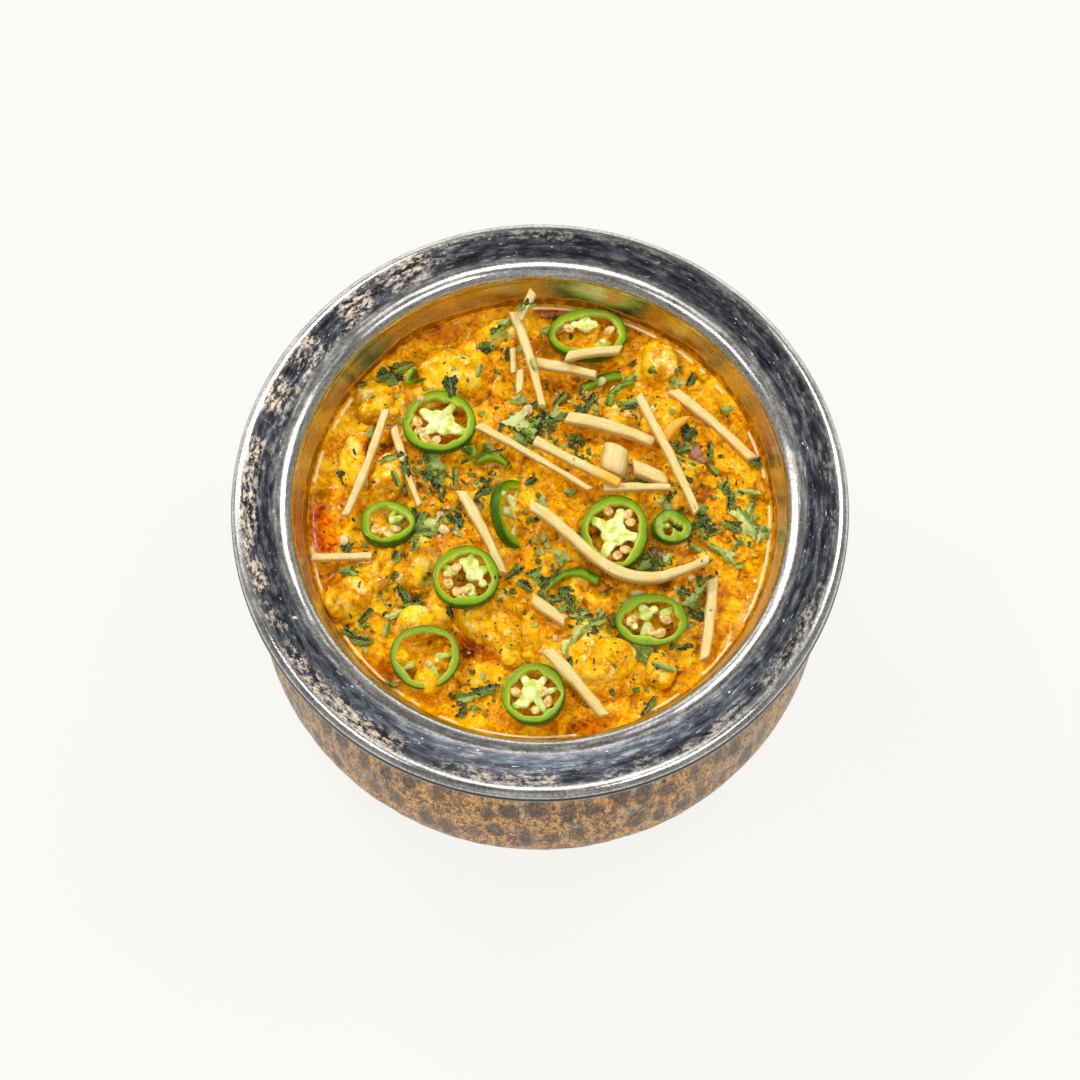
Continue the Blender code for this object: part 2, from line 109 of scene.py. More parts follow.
def rounds(points, sizeMm, seed):
    # rounded lumps side by side: 1 at the middle of each, 0 in the creases between them
    places = points / (sizeMm * mm) + 9.1
    cells = np.floor(places).astype(np.int64)
    nearest = np.full(len(points), 9.0)
    for i in range(27):
        step = np.array([i % 3 - 1, (i // 3) % 3 - 1, i // 9 - 1])
        key = cells + step
        middle = key + 0.15 + 0.7 * np.stack([scramble(key, seed + k) for k in range(3)], axis=1)
        nearest = np.minimum(nearest, ((places - middle) ** 2).sum(axis=1))
    return np.clip(1 - nearest / 0.62, 0.0, 1.0)


def flat3(x, y, z=0.0):
    return np.stack([x, y, np.full_like(x, z)], axis=1)


def turnsOf(count):
    return np.arange(count) * 2 * math.pi / count


def ringOf(turns, radiusX, radiusY, height):
    # points round Z; radii and height are one number, or one for each turn
    return np.stack([radiusX * np.cos(turns), radiusY * np.sin(turns), height + 0 * turns], axis=1)


def spun(points, turn):
    c, s = math.cos(turn), math.sin(turn)
    return points @ np.array([[c, s, 0], [-s, c, 0], [0, 0, 1]])


def nodesOf(kind):
    return sorted(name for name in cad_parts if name.startswith(kind))


# small helpers for meshes

def linked(name, data):
    thing = bpy.data.objects.new(name, data)
    bpy.context.scene.collection.objects.link(thing)
    return thing


def meshPiece(name, vertices, faces, look, nodes=(), soft=True):
    # a mesh piece that rides on the bowl and stands for the named nodes of the model
    mesh = bpy.data.meshes.new(name)
    mesh.from_pydata([tuple(v) for v in vertices], [], [tuple(f) for f in faces])
    mesh.validate()
    piece = linked(name, mesh)
    for finish in look if isinstance(look, (list, tuple)) else [look]:
        mesh.materials.append(finish)
    mesh.polygons.foreach_set("use_smooth", [soft] * len(mesh.polygons))
    turnFacesOut(mesh)
    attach(piece, "root")
    if nodes:
        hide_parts(*nodes)
    return piece


def turnFacesOut(mesh):
    bm = bmesh.new()
    bm.from_mesh(mesh)
    bmesh.ops.recalc_face_normals(bm, faces=bm.faces[:])
    bm.to_mesh(mesh)
    bm.free()


def worked(bm, **modifiers):
    # corners and faces of a rough mesh after its modifiers, each given as kind=settings
    mesh = bpy.data.meshes.new("rough")
    bm.to_mesh(mesh)
    bm.free()
    rough = linked("rough", mesh)
    for kind, settings in modifiers.items():
        modifier = rough.modifiers.new(kind, kind)
        for key, value in settings.items():
            setattr(modifier, key, value)
    graph = bpy.context.evaluated_depsgraph_get()
    fine = bpy.data.meshes.new_from_object(rough.evaluated_get(graph))
    bpy.data.objects.remove(rough, do_unlink=True)
    vertices = np.array([tuple(v.co) for v in fine.vertices]).reshape(-1, 3)
    return vertices, [tuple(p.vertices) for p in fine.polygons]


def paint(piece, **values):
    # one number per corner for each named value
    for name, numbers in values.items():
        layer = piece.data.attributes.new(name, "FLOAT", "POINT")
        layer.data.foreach_set("value", np.asarray(numbers, dtype=np.float32))


def paintPlaces(piece, name, spots):
    layer = piece.data.attributes.new(name, "FLOAT_VECTOR", "POINT")
    layer.data.foreach_set("vector", np.asarray(spots, dtype=np.float32).ravel())


def corners(piece, what="co"):
    flat = np.zeros(len(piece.data.vertices) * 3)
    piece.data.vertices.foreach_get(what, flat)
    return flat.reshape(-1, 3)


def outward(piece):
    return corners(piece, "normal")


def moveCorners(piece, spots):
    piece.data.vertices.foreach_set("co", np.asarray(spots, dtype=np.float32).ravel())
    piece.data.update()


def bands(rows, around, closed=False):
    # quads between neighbouring rows of points, each row running once round; closed joins last to first
    faces = []
    for i in range(rows if closed else rows - 1):
        here, above = i * around, (i + 1) % rows * around
        for j in range(around):
            k = (j + 1) % around
            faces.append((here + j, here + k, above + k, above + j))
    return faces


def turned(profile, around):
    # points and faces of a profile of (radius, height) turned round Z; a zero radius becomes one point
    vertices, faces, starts = [], [], []
    for radius, height in profile:
        starts.append((len(vertices), radius > 1e-7))
        if radius > 1e-7:
            vertices += [(radius * math.cos(a), radius * math.sin(a), height) for a in turnsOf(around)]
        else:
            vertices.append((0.0, 0.0, height))
    for (a, aRound), (b, bRound) in zip(starts, starts[1:]):
        for j in range(around):
            k = (j + 1) % around
            if aRound and bRound:
                faces.append((a + j, a + k, b + k, b + j))
            elif aRound:
                faces.append((a + j, a + k, b))
            elif bRound:
                faces.append((a, b + k, b + j))
    return np.array(vertices), faces


def arc(centre, sizeR, sizeZ, start, end, steps):
    turns = np.radians(np.linspace(start, end, steps + 1))
    return [(centre[0] + sizeR * math.cos(t), centre[1] + sizeZ * math.sin(t)) for t in turns]


# small helpers for finishes: each adds one node to the tree that its sockets belong to

def newFinish(name):
    look = bpy.data.materials.new(name)
    look.use_nodes = True
    return look


def newNode(kind, *given):
    tree = next(value.id_data for value in given if isinstance(value, bpy.types.NodeSocket))
    return tree.nodes.new("ShaderNode" + kind)


def feed(socket, value):
    if isinstance(value, bpy.types.NodeSocket):
        socket.id_data.links.new(value, socket)
    elif value is not None:
        socket.default_value = value


def number(look, name, output="Fac"):
    node = look.node_tree.nodes.new("ShaderNodeAttribute")
    node.attribute_name = name
    return node.outputs[output]


def places(look, name=None):
    if name:
        return number(look, name, "Vector")
    return look.node_tree.nodes.new("ShaderNodeTexCoord").outputs["Object"]


def stretched(source, scale, shift=(0, 0, 0)):
    node = newNode("Mapping", source)
    feed(node.inputs["Vector"], source)
    node.inputs["Scale"].default_value = scale
    node.inputs["Location"].default_value = shift
    return node.outputs["Vector"]


def grain(source, sizeMm, detail=3.0, rough=0.55, bend=0.0):
    node = newNode("TexNoise", source)
    values = {"Vector": source, "Scale": 1 / (sizeMm * mm), "Detail": detail, "Roughness": rough,
              "Distortion": bend}
    for name, value in values.items():
        feed(node.inputs[name], value)
    return node.outputs["Fac"]


def cellsOf(source, sizeMm, kind="F1"):
    node = newNode("TexVoronoi", source)
    node.feature = kind
    feed(node.inputs["Vector"], source)
    node.inputs["Scale"].default_value = 1 / (sizeMm * mm)
    return node.outputs["Distance"]


def ramp(value, low, high, start=0.0, end=1.0):
    # value from low to high becomes start to end
    node = newNode("MapRange", value)
    node.interpolation_type = "SMOOTHSTEP"
    names = ("Value", "From Min", "From Max", "To Min", "To Max")
    for name, given in zip(names, (value, low, high, start, end)):
        feed(node.inputs[name], given)
    return node.outputs["Result"]


def arithmetic(kind, a, b=None, clamp=False):
    node = newNode("Math", a, b)
    node.operation = kind
    node.use_clamp = clamp
    feed(node.inputs[0], a)
    feed(node.inputs[1], b)
    return node.outputs["Value"]


def times(a, b):
    return arithmetic("MULTIPLY", a, b, clamp=True)


def plus(a, b):
    return arithmetic("ADD", a, b, clamp=True)


def mixOf(a, b, share):
    # share of b in a
    return arithmetic("ADD", arithmetic("MULTIPLY", a, 1 - share), arithmetic("MULTIPLY", b, share))


def blend(share, a, b):
    # share of colour b in colour a; a colour is a socket, or three screen values
    node = newNode("Mix", share, a, b)
    node.data_type = "RGBA"
    feed(node.inputs[0], share)
    for slot, colour in ((6, a), (7, b)):
        feed(node.inputs[slot], tone(*colour) if isinstance(colour, tuple) and len(colour) == 3 else colour)
    return node.outputs[2]


def shades(value, *stops):
    # colours along a value: each stop is its place and three screen values
    node = newNode("ValToRGB", value)
    feed(node.inputs["Fac"], value)
    band = node.color_ramp
    while len(band.elements) < len(stops):
        band.elements.new(0.5)
    for element, (place, *colour) in zip(band.elements, stops):
        element.position = place
        element.color = tone(*colour)
    return node.outputs["Color"]


def relief(height, depthMm, strength=1.0, below=None):
    node = newNode("Bump", height)
    values = {"Strength": strength, "Distance": depthMm * mm, "Height": height, "Normal": below}
    for name, value in values.items():
        feed(node.inputs[name], value)
    return node.outputs["Normal"]


def finished(look, colour, rough, normal=None, specular=None, inner=(None, None, None), metal=None,
             coat=(None, None)):
    # inner is the weight, radius and scale of the light under the surface, coat its weight and roughness
    inputs = look.node_tree.nodes["Principled BSDF"].inputs
    names = ("Base Color", "Roughness", "Normal", "Specular IOR Level", "Subsurface Weight",
             "Subsurface Radius", "Subsurface Scale", "Metallic", "Coat Weight", "Coat Roughness")
    for name, value in zip(names, (colour, rough, normal, specular, *inner, metal, *coat)):
        feed(inputs[name], value)
    return look


# camera, floor and light

studio = {
    "distance": 0.780, "elevation": 69.51, "lens": 90.23, "aimBehind": 0.01304,
    "floorRadius": 2.5, "floorHeight": -0.0002, "floorGlow": 0.872, "floorPaint": 0.08,
    "sky": (0.36, 0.13),  # brightness low down and straight up
    # soft boxes: turn from +X and height in degrees, half size, soft edge, strength
    "boxes": [(34, 50, 7, 9, 2.4), (152, 28, 8, 12, 1.9), (268, 32, 8, 16, 0.3)],
    # long box overhead, across the bowl: middle and half width in Y, half length in X, strength
    "overhead": (-0.03, 0.12, 0.12, 3.8),
    "backdrop": 1.25,  # pale wall behind the bowl, just above the floor
    # narrow strong lamps: place, length, width, power
    "lamps": [((-0.55, 0.70, 0.95), 0.50, 0.05, 8.0), ((0.66, 0.42, 1.00), 0.50, 0.05, 3.2),
              ((0.50, -0.55, 1.05), 0.50, 0.05, 2.6), ((-0.66, -0.30, 1.05), 0.50, 0.05, 2.4)],
    "lampTint": (1.0, 0.985, 0.96), "lampAim": (0, 0, 0.07),
}


def pointed(thing, place, aim):
    thing.location = place
    thing.rotation_euler = (Vector(aim) - Vector(place)).to_track_quat("-Z", "Y").to_euler()


def placeCamera():
    camera = linked("camera", bpy.data.cameras.new("camera"))
    aim = Vector((0.0, -studio["aimBehind"], rimTop))
    angle = math.radians(studio["elevation"])
    pointed(camera, aim + studio["distance"] * Vector((0.0, -math.cos(angle), math.sin(angle))), aim)
    camera.data.lens = studio["lens"]
    camera.data.sensor_width = 36.0
    camera.data.clip_start = 0.01
    bpy.context.scene.camera = camera


def placeLamps():
    for i, (place, length, width, power) in enumerate(studio["lamps"]):
        name = "lamp" + str(i + 1)
        lamp = linked(name, bpy.data.lights.new(name, "AREA"))
        lamp.data.shape = "RECTANGLE"
        lamp.data.size = length
        lamp.data.size_y = width
        lamp.data.energy = power
        lamp.data.color = studio["lampTint"]
        pointed(lamp, place, studio["lampAim"])


def lightSky():
    # a dim room with a long soft box overhead and smaller ones round it
    world = bpy.data.worlds.new("studio")
    bpy.context.scene.world = world
    world.use_nodes = True
    way = world.node_tree.nodes.new("ShaderNodeTexCoord").outputs["Generated"]
    split = newNode("SeparateXYZ", way)
    feed(split.inputs[0], way)
    x, y, z = split.outputs
    middle, wide, long, strength = studio["overhead"]
    offMiddle = arithmetic("ABSOLUTE", arithmetic("SUBTRACT", y, middle))
    narrow = ramp(offMiddle, wide, wide + 0.10, 1.0, 0.0)
    strip = arithmetic("MULTIPLY", narrow, ramp(arithmetic("ABSOLUTE", x), long, long + 0.12, 1.0, 0.0))
    strip = arithmetic("MULTIPLY", strip, ramp(z, 0.2, 0.5, 0.0, strength))
    total = arithmetic("ADD", strip, ramp(z, 0.10, 0.85, *studio["sky"]))
    for turn, height, size, soft, power in studio["boxes"]:
        a, e = math.radians(turn), math.radians(height)
        dot = newNode("VectorMath", way)
        dot.operation = "DOT_PRODUCT"
        feed(dot.inputs[0], way)
        dot.inputs[1].default_value = (math.cos(e) * math.cos(a), math.cos(e) * math.sin(a), math.sin(e))
        edge, core = math.cos(math.radians(size + soft)), math.cos(math.radians(size))
        total = arithmetic("ADD", total, ramp(dot.outputs["Value"], edge, core, 0.0, power))
    low = ramp(arithmetic("ABSOLUTE", arithmetic("SUBTRACT", z, 0.06)), 0.10, 0.24, studio["backdrop"], 0.0)
    total = arithmetic("ADD", total, arithmetic("MULTIPLY", low, ramp(y, 0.5, 0.85)))
    back = world.node_tree.nodes["Background"]
    back.inputs["Color"].default_value = (1.0, 0.995, 0.98, 1.0)
    feed(back.inputs["Strength"], total)


def layFloor():
    level, paintShare = studio["floorHeight"], studio["floorPaint"]
    vertices, faces = turned([(0.0, level), (0.2, level), (studio["floorRadius"], level)], 64)
    mesh = bpy.data.meshes.new("floor")
    mesh.from_pydata([tuple(v) for v in vertices], [], faces)
    floor = linked("floor", mesh)
    colour = (paintShare, paintShare * 0.992, paintShare * 0.96, 1)
    look = finished(newFinish("paleFloor"), colour, 0.9, specular=0.0)
    inputs = look.node_tree.nodes["Principled BSDF"].inputs
    inputs["Emission Color"].default_value = (1.0, 0.992, 0.955, 1)
    inputs["Emission Strength"].default_value = studio["floorGlow"]
    mesh.materials.append(look)
    turnFacesOut(mesh)


placeCamera()
layFloor()
lightSky()
placeLamps()
bpy.context.scene.view_settings.view_transform = "Standard"
print("camera, floor and light in place")


# copper jacket

jacket = {
    "neckRadius": 0.0805, "neckHeight": 0.088, "topHeight": 0.094, "bellyHeight": 0.032,
    "footRadius": 0.058, "sheet": 0.0012,
    "dimplesRound": 68, "dimpleRiseMm": 21.0, "dimpleDepthMm": 0.24, "around": 480, "upRows": 120,
    # painted reflection on the left and right sides: the pair below is where it begins across the bowl and
    # where it is full
    "greySides": (0.030, 0.086),  # across the bowl, from where the sides turn grey to where they are
}


def jacketSide(inset, upper, lower):
    points = []
    for i in range(upper + 1):
        share = i / upper
        turn = share * math.pi / 2
        radius = jacket["neckRadius"] + (bellyRadius - jacket["neckRadius"]) * math.sin(turn)
        fall = 0.5 * (1 - math.cos(turn)) + 0.5 * share
        points.append((radius - inset, mixed(jacket["neckHeight"], jacket["bellyHeight"], fall)))
    for i in range(1, lower + 1):
        turn = i / lower * math.pi / 2
        radius = jacket["footRadius"] + (bellyRadius - jacket["footRadius"]) * math.cos(turn)
        height = inset + (jacket["bellyHeight"] - inset) * (1 - math.sin(turn))
        points.append((radius - inset * math.cos(turn), height))
    return points


def hammerMarks(angle, along):
    # how far each place is inside the nearest oval hammer mark: 1 at its middle, 0 at its edge and outside
    pitch = 2 * math.pi / jacket["dimplesRound"]
    rise = jacket["dimpleRiseMm"] * mm
    row = np.floor(along / rise).astype(np.int64)
    best = np.zeros(len(angle))
    for up in (-1, 0, 1):
        thisRow = row + up
        shift = 0.5 * (thisRow % 2)
        column = np.floor(angle / pitch - shift).astype(np.int64)
        for side in (-1, 0, 1):
            cell = np.stack([(column + side) % jacket["dimplesRound"], thisRow, thisRow * 0], axis=1)
            wide = 0.28 + 0.20 * scramble(cell, 3)
            tall = 0.26 + 0.24 * scramble(cell, 4)
            du = angle / pitch - shift - (column + side) - 0.5 - 0.36 * (scramble(cell, 1) - 0.5)
            dv = along / rise - thisRow - 0.5 - 0.40 * (scramble(cell, 2) - 0.5)
            depth = (0.15 + 0.90 * scramble(cell, 5)) * (1 - (du / wide) ** 2 - (dv / tall) ** 2)
            best = np.maximum(best, depth)
    return best


def copperFinish():
    look = newFinish("hammeredCopper")
    here = places(look)
    drawn = stretched(here, (1.0, 1.0, 0.40))
    mid = grain(drawn, 2.0, 6, 0.76, 0.3)
    fine = grain(drawn, 0.7, 4, 0.75)
    rough = mixOf(fine, mid, 0.6)
    land = shades(rough, (0.425, 42, 24, 8), (0.47, 136, 86, 34), (0.515, 218, 152, 70),
                  (0.57, 255, 208, 134))
    worn = shades(rough, (0.42, 70, 58, 46), (0.49, 146, 124, 102), (0.57, 214, 196, 172))
    land = blend(ramp(grain(here, 11.0, 4), 0.44, 0.66, 0.0, 0.7), land, worn)
    dark = shades(rough, (0.42, 16, 12, 6), (0.50, 72, 54, 32), (0.60, 140, 112, 74))
    where = plus(number(look, "mark"), ramp(mid, 0.3, 0.7, -0.22, 0.22))
    colour = blend(ramp(where, 0.0, 0.46, 0.0, 0.82), land, dark)
    pits = ramp(grain(drawn, 1.5, 3, 0.6, 0.8), 0.61, 0.67)
    colour = blend(times(pits, 0.8), colour, (44, 30, 18))
    # painted reflection: the two sides are greyer, with upright streaks
    streak = grain(stretched(here, (1.0, 1.0, 0.30)), 2.0, 5, 0.66)
    silver = shades(streak, (0.42, 74, 62, 50), (0.50, 140, 122, 100), (0.60, 206, 192, 172))
    silver = blend(ramp(where, 0.04, 0.5, 0.0, 0.6), silver, dark)
    colour = blend(times(number(look, "sideShare"), ramp(streak, 0.42, 0.58, 0.1, 0.75)), colour, silver)
    colour = blend(ramp(number(look, "height"), 0.030, 0.008, 0.0, 0.5), colour, (150, 138, 122))
    bumps = relief(mid, 0.9, 0.9, relief(fine, 0.35, 1.0))
    return finished(look, colour, ramp(mid, 0.3, 0.7, 0.30, 0.52), bumps, metal=0.5)


def makeJacket():
    neck, sheet, around = jacket["neckRadius"], jacket["sheet"], jacket["around"]
    inner = [(0.0, sheet)] + jacketSide(sheet, 8, 8)[::-1] + [(neck - sheet, jacket["topHeight"])]
    outer = [(neck, mixed(jacket["topHeight"], jacket["neckHeight"], i / 5)) for i in range(5)]
    outer += jacketSide(0.0, jacket["upRows"] * 2 // 3, jacket["upRows"] // 3)
    outer += [(jacket["footRadius"] * (1 - i / 4), 0.0) for i in range(1, 5)]
    vertices, faces = turned(inner + outer, around)
    piece = meshPiece("copper_jacket_hammered", vertices, faces, copperFinish(), ["copper_jacket"])
    spots = corners(piece)
    height = spots[:, 2]
    first = 1 + (len(inner) - 1) * around
    index = np.arange(len(spots))
    isOuter = index >= first
    lengths = np.concatenate([[0.0], np.cumsum([math.dist(a, b) for a, b in zip(outer, outer[1:])])])
    along = lengths[np.clip((index - first) // around, 0, len(outer) - 1)]
    mark = hammerMarks(np.arctan2(spots[:, 1], spots[:, 0]) + math.pi, along)
    mark *= smooth(along, 0.004, 0.009) * smooth(height, 0.001, 0.008) * isOuter
    dents = 0.10 * waver(spots, 14.0, 5) + 0.05 * waver(spots, 5.0, 6)
    press = (jacket["dimpleDepthMm"] * mark ** 0.8 - dents * (height > 0.003) * isOuter) * mm
    moveCorners(piece, spots - outward(piece) * press[:, None])
    # the left and right sides across the view get the painted reflection
    sideShare = smooth(np.abs(spots[:, 0]), *jacket["greySides"]) * isOuter
    paint(piece, mark=mark, height=height, sideShare=sideShare)


makeJacket()
print("copper jacket hammered")


# steel liner

liner = {
    "innerRoll": (0.0765, 0.0912), "outerRoll": (0.0865, 0.0925), "sheet": 0.001, "outerCrest": 0.0957,
    "floor": 0.020, "floorRadius": 0.030, "shoulder": 0.060, "dip": 0.0001,
    "gravyRadius": 0.0685, "gravyLevel": 0.080, "wallSlope": 0.267, "curlEnd": -60, "around": 320,
    "rustBehind": 35, "rustSpot": (138, 24),  # degrees from +X: least rust, then middle and width of a patch
}


def wallRadius(height):
    return liner["gravyRadius"] + liner["wallSlope"] * (height - liner["gravyLevel"])


def linerSide(outset, start, end, steps):
    sizeR = wallRadius(liner["shoulder"]) - liner["floorRadius"] + outset
    sizeZ = liner["shoulder"] - liner["floor"] + outset
    return arc((liner["floorRadius"], liner["shoulder"]), sizeR, sizeZ, start, end, steps)


def flatTop(drop, steps):
    # shallow channel between the crests of the two rolls
    points = []
    for i in range(1, steps):
        share = i / steps
        radius = mixed(liner["innerRoll"][0], liner["outerRoll"][0], share)
        crest = mixed(rimTop, liner["outerCrest"], share)
        points.append((radius, crest - liner["dip"] * math.sin(math.pi * share) - drop))
    return points


def steelFinish():
    look = newFinish("wornSteel")
    here, round = places(look), places(look, "turnPlace")
    flat, wall, rustShare = number(look, "flatShare"), number(look, "wallShare"), number(look, "rustShare")
    streak = grain(stretched(round, (0.12, 0.12, 1.0)), 1.1, 5, 0.62, 0.3)
    blotch = grain(stretched(round, (0.36, 0.36, 1.0), (2, 0, 1)), 1.9, 6, 0.68, 0.3)
    fine = grain(here, 0.9, 4, 0.7, 0.4)
    scratch = grain(stretched(round, (0.16, 0.16, 1.5), (3, 1, 5)), 0.5, 2, 0.5)
    # bright metal on the rolls and the wall, blue-grey tarnish on the flat of the rim
    silver = shades(mixOf(fine, streak, 0.4), (0.36, 150, 148, 148), (0.50, 204, 202, 198),
                    (0.62, 236, 234, 230))
    silver = blend(times(wall, 0.7), silver, (206, 203, 197))
    cloud = mixOf(blotch, streak, 0.5)
    tarnish = shades(cloud, (0.38, 58, 62, 72), (0.46, 96, 102, 116), (0.54, 130, 136, 148),
                     (0.63, 186, 186, 186))
    colour = blend(times(flat, 0.96), silver, tarnish)
    # rust-brown and tan patches with dirt beside them
    rustPlace = grain(here, 13.0, 4, 0.6)
    rustMix = grain(stretched(round, (0.5, 0.5, 1.0), (5, 2, 3)), 1.1, 6, 0.76, 0.15)
    rust = times(times(ramp(rustPlace, 0.38, 0.56), ramp(rustMix, 0.47, 0.55)), rustShare)
    rustTone = shades(rustMix, (0.46, 124, 102, 78), (0.53, 196, 170, 136), (0.61, 240, 222, 190))
    dirt = times(times(ramp(rustMix, 0.49, 0.43), rustShare), ramp(rustPlace, 0.34, 0.5))
    colour = blend(times(dirt, 0.5), colour, (66, 60, 58))
    colour = blend(times(rust, 0.82), colour, rustTone)
    # dark pits, then bright scratches and flecks, which are partly real wear and partly painted glints
    pits = times(times(ramp(cellsOf(here, 1.7), 0.16, 0.08), ramp(blotch, 0.50, 0.58)), flat)
    colour = blend(pits, colour, (38, 36, 40))
    flecks = times(ramp(cellsOf(stretched(round, (0.5, 0.5, 1.0)), 1.9), 0.15, 0.09), flat)
    marks = plus(times(ramp(scratch, 0.68, 0.75), flat), times(flecks, ramp(blotch, 0.53, 0.60)))
    colour = blend(times(marks, 0.9), colour, (246, 244, 240))
    # painted shade: the outer curl of the rim darkens towards its edge
    colour = blend(ramp(number(look, "outerShare"), 0.80, 0.97), colour, (58, 55, 55))
    # painted highlight: a pale line along the lower edge of the curl
    colour = blend(number(look, "lowEdge"), colour, (206, 190, 164))
    # worn holds the rust and the painted glints of the scratches and flecks
    worn = plus(times(marks, 0.35), times(rust, 0.55))
    rough = plus(ramp(flat, 0.0, 1.0, 0.20, 0.17), ramp(cloud, 0.42, 0.62, 0.0, 0.08))
    rough = plus(plus(rough, times(worn, 0.5)), times(wall, ramp(streak, 0.35, 0.65, 0.04, 0.11)))
    calm = times(ramp(wall, 0.0, 1.0, 1.0, 0.12), ramp(flat, 0.0, 1.0, 0.12, 1.0))
    bumps = relief(times(fine, calm), 0.035, 0.3)
    bumps = relief(times(mixOf(scratch, streak, 0.5), calm), 0.05, 0.35, bumps)
    return finished(look, colour, rough, bumps, metal=ramp(worn, 0.0, 0.6, 1.0, 0.45))


def makeLiner():
    sheet, inner, outer = liner["sheet"], liner["innerRoll"], liner["outerRoll"]
    innerSize, innerRise = inner[0] - wallRadius(inner[1]), rimTop - inner[1]
    outerSize, outerRise = rimRadius - outer[0], liner["outerCrest"] - outer[1]
    profile = [(0.0, liner["floor"])] + linerSide(0.0, -90, 0, 14)
    heights = [mixed(liner["shoulder"], inner[1], i / 26) for i in range(1, 26)]
    profile += [(wallRadius(height), height) for height in heights]
    profile += arc(inner, innerSize, innerRise, 180, 90, 18) + flatTop(0.0, 22)
    profile += arc(outer, outerSize, outerRise, 90, liner["curlEnd"], 24)
    profile += arc(outer, outerSize - sheet, outerRise - sheet, liner["curlEnd"], 90, 10)
    profile += flatTop(sheet, 6)[::-1] + arc(inner, innerSize - sheet, innerRise - sheet, 90, 180, 6)
    profile += [(wallRadius(liner["gravyLevel"]) + sheet, liner["gravyLevel"])]
    profile += linerSide(sheet, 0, -90, 8) + [(0.0, liner["floor"] - sheet)]
    vertices, faces = turned(profile, liner["around"])
    piece = meshPiece("steel_liner_worn", vertices, faces, steelFinish(), ["steel_liner"])
    spots = corners(piece)
    height = spots[:, 2]
    radius = np.hypot(spots[:, 0], spots[:, 1])
    angle = np.arctan2(spots[:, 1], spots[:, 0])
    dents = 0.06 * waver(spots, 22.0, 11) + 0.025 * waver(spots, 6.0, 12)
    moveCorners(piece, spots + outward(piece) * (dents * (height > 0.085) * mm)[:, None])
    top = height > 0.0935
    flat = smooth(radius, 0.0764, 0.0782) * (1 - smooth(radius, 0.0850, 0.0872)) * top
    away = 0.5 - 0.5 * np.cos(angle - math.radians(liner["rustBehind"]))
    middle, width = np.radians(liner["rustSpot"])
    spot = np.exp(-((angle - middle) / width) ** 2)
    rust = (0.25 + 0.75 * away) * smooth(radius, 0.0805, 0.0845) + spot * smooth(radius, 0.0768, 0.0795)
    rust = np.clip(rust, 0, 1) * (1 - smooth(radius, 0.0862, 0.0872)) * top
    paintPlaces(piece, "turnPlace", ringOf(angle, 0.08, 0.08, radius + height))
    # the outer and lower shares mark where shade and a pale highlight line are painted on the rim's curl
    paint(piece, flatShare=flat, outerShare=smooth(radius, 0.0880, rimRadius), rustShare=rust,
          wallShare=(radius < 0.0735) * smooth(height, 0.0925, 0.090),
          lowEdge=smooth(height, 0.0925, 0.0920) * smooth(radius, 0.0875, 0.0885))


makeLiner()
print("steel liner made")


# chicken pieces

meatLook = {
    "sub": 4, "swell": 1.07, "smallSwell": (1.16, 1.16, 1.07), "stand": 0.28, "grainTurn": 20,
    "largeFrom": 0.018, "lobesMm": 8.2, "lobeHeightMm": 3.5, "foldsMm": 3.4, "foldHeightMm": 0.4,
    "crumbMm": 1.6, "crumbHeightMm": 0.05,
}


def sauceColour(here, rise, oil, red=None, even=0.4):
    # golden gravy: paler and yellower where it is raised, partly its own colour and partly painted light on
    # the tops; redder and deeper where oil has gathered
    wide = grain(here, 9.0, 2, 0.5, 0.4)
    curd = grain(here, 2.6, 2, 0.5, 1.2)
    fine = grain(here, 0.8, 1.5, 0.5)
    both = mixOf(curd, wide, even)
    base = shades(both, (0.36, 154, 84, 0), (0.45, 216, 138, 0), (0.54, 248, 173, 0), (0.64, 254, 194, 8))
    creamy = shades(both, (0.36, 200, 130, 0), (0.46, 240, 172, 0), (0.56, 254, 200, 22),
                    (0.66, 255, 224, 84))
    grainy = times(ramp(grain(here, 6.0, 2), 0.46, 0.60), ramp(fine, 0.60, 0.42, 0.0, 0.7))
    colour = blend(grainy, blend(rise, base, creamy), (206, 104, 0))
    deep = shades(both, (0.38, 84, 34, 0), (0.48, 146, 66, 0), (0.60, 204, 110, 0))
    if red is not None:
        deep = blend(red, deep, shades(both, (0.38, 150, 40, 0), (0.48, 212, 88, 0), (0.58, 246, 140, 0)))
    colour = blend(oil, colour, deep)
    # dark specks of spice, thicker in some places
    uneven = arithmetic("MULTIPLY", arithmetic("SUBTRACT", fine, 0.5), 0.25)
    spot = arithmetic("ADD", cellsOf(here, 2.3), uneven)
    keep = ramp(grain(here, 5.0, 2), 0.44, 0.54, 0.3, 1.0)
    colour = blend(times(ramp(spot, 0.11, 0.15, 1.0, 0.0), keep), colour, (74, 32, 0))
    return colour, curd, fine


def wetRelief(here, calm, depthMm):
    # soft slopes two or three millimetres across, so that the shine breaks into small clear lights
    return relief(times(grain(here, 3.0, 1.0, 0.4, 0.8), calm), depthMm)


def coatedMeatFinish():
    look = newFinish("sauceCoatedChicken")
    here, rise = places(look), number(look, "rise")
    # painted shade: the creases between lobes take the deep oil colour, partly oil gathered there; the raised
    # lobes are painted paler as light on their tops
    oily = ramp(number(look, "crease"), 0.50, 0.95, 0.0, 0.8)
    colour, curd, fine = sauceColour(here, ramp(rise, 0.0, 0.6, 0.35, 1.0), oily, even=0.62)
    pale = times(ramp(grain(here, 4.6, 3, 0.55), 0.54, 0.64), ramp(rise, 0.35, 0.8))
    colour = blend(times(pale, ramp(fine, 0.36, 0.5, 0.25, 0.9)), colour, (255, 226, 132))
    coat = (ramp(grain(here, 2.6, 1), 0.54, 0.62, 0.0, 0.6), 0.04)
    return finished(look, colour, ramp(curd, 0.3, 0.7, 0.08, 0.16), wetRelief(here, 1.0, 0.5), 0.12,
                    (0.04, (1.0, 0.5, 0.1), 0.0012), coat=coat)


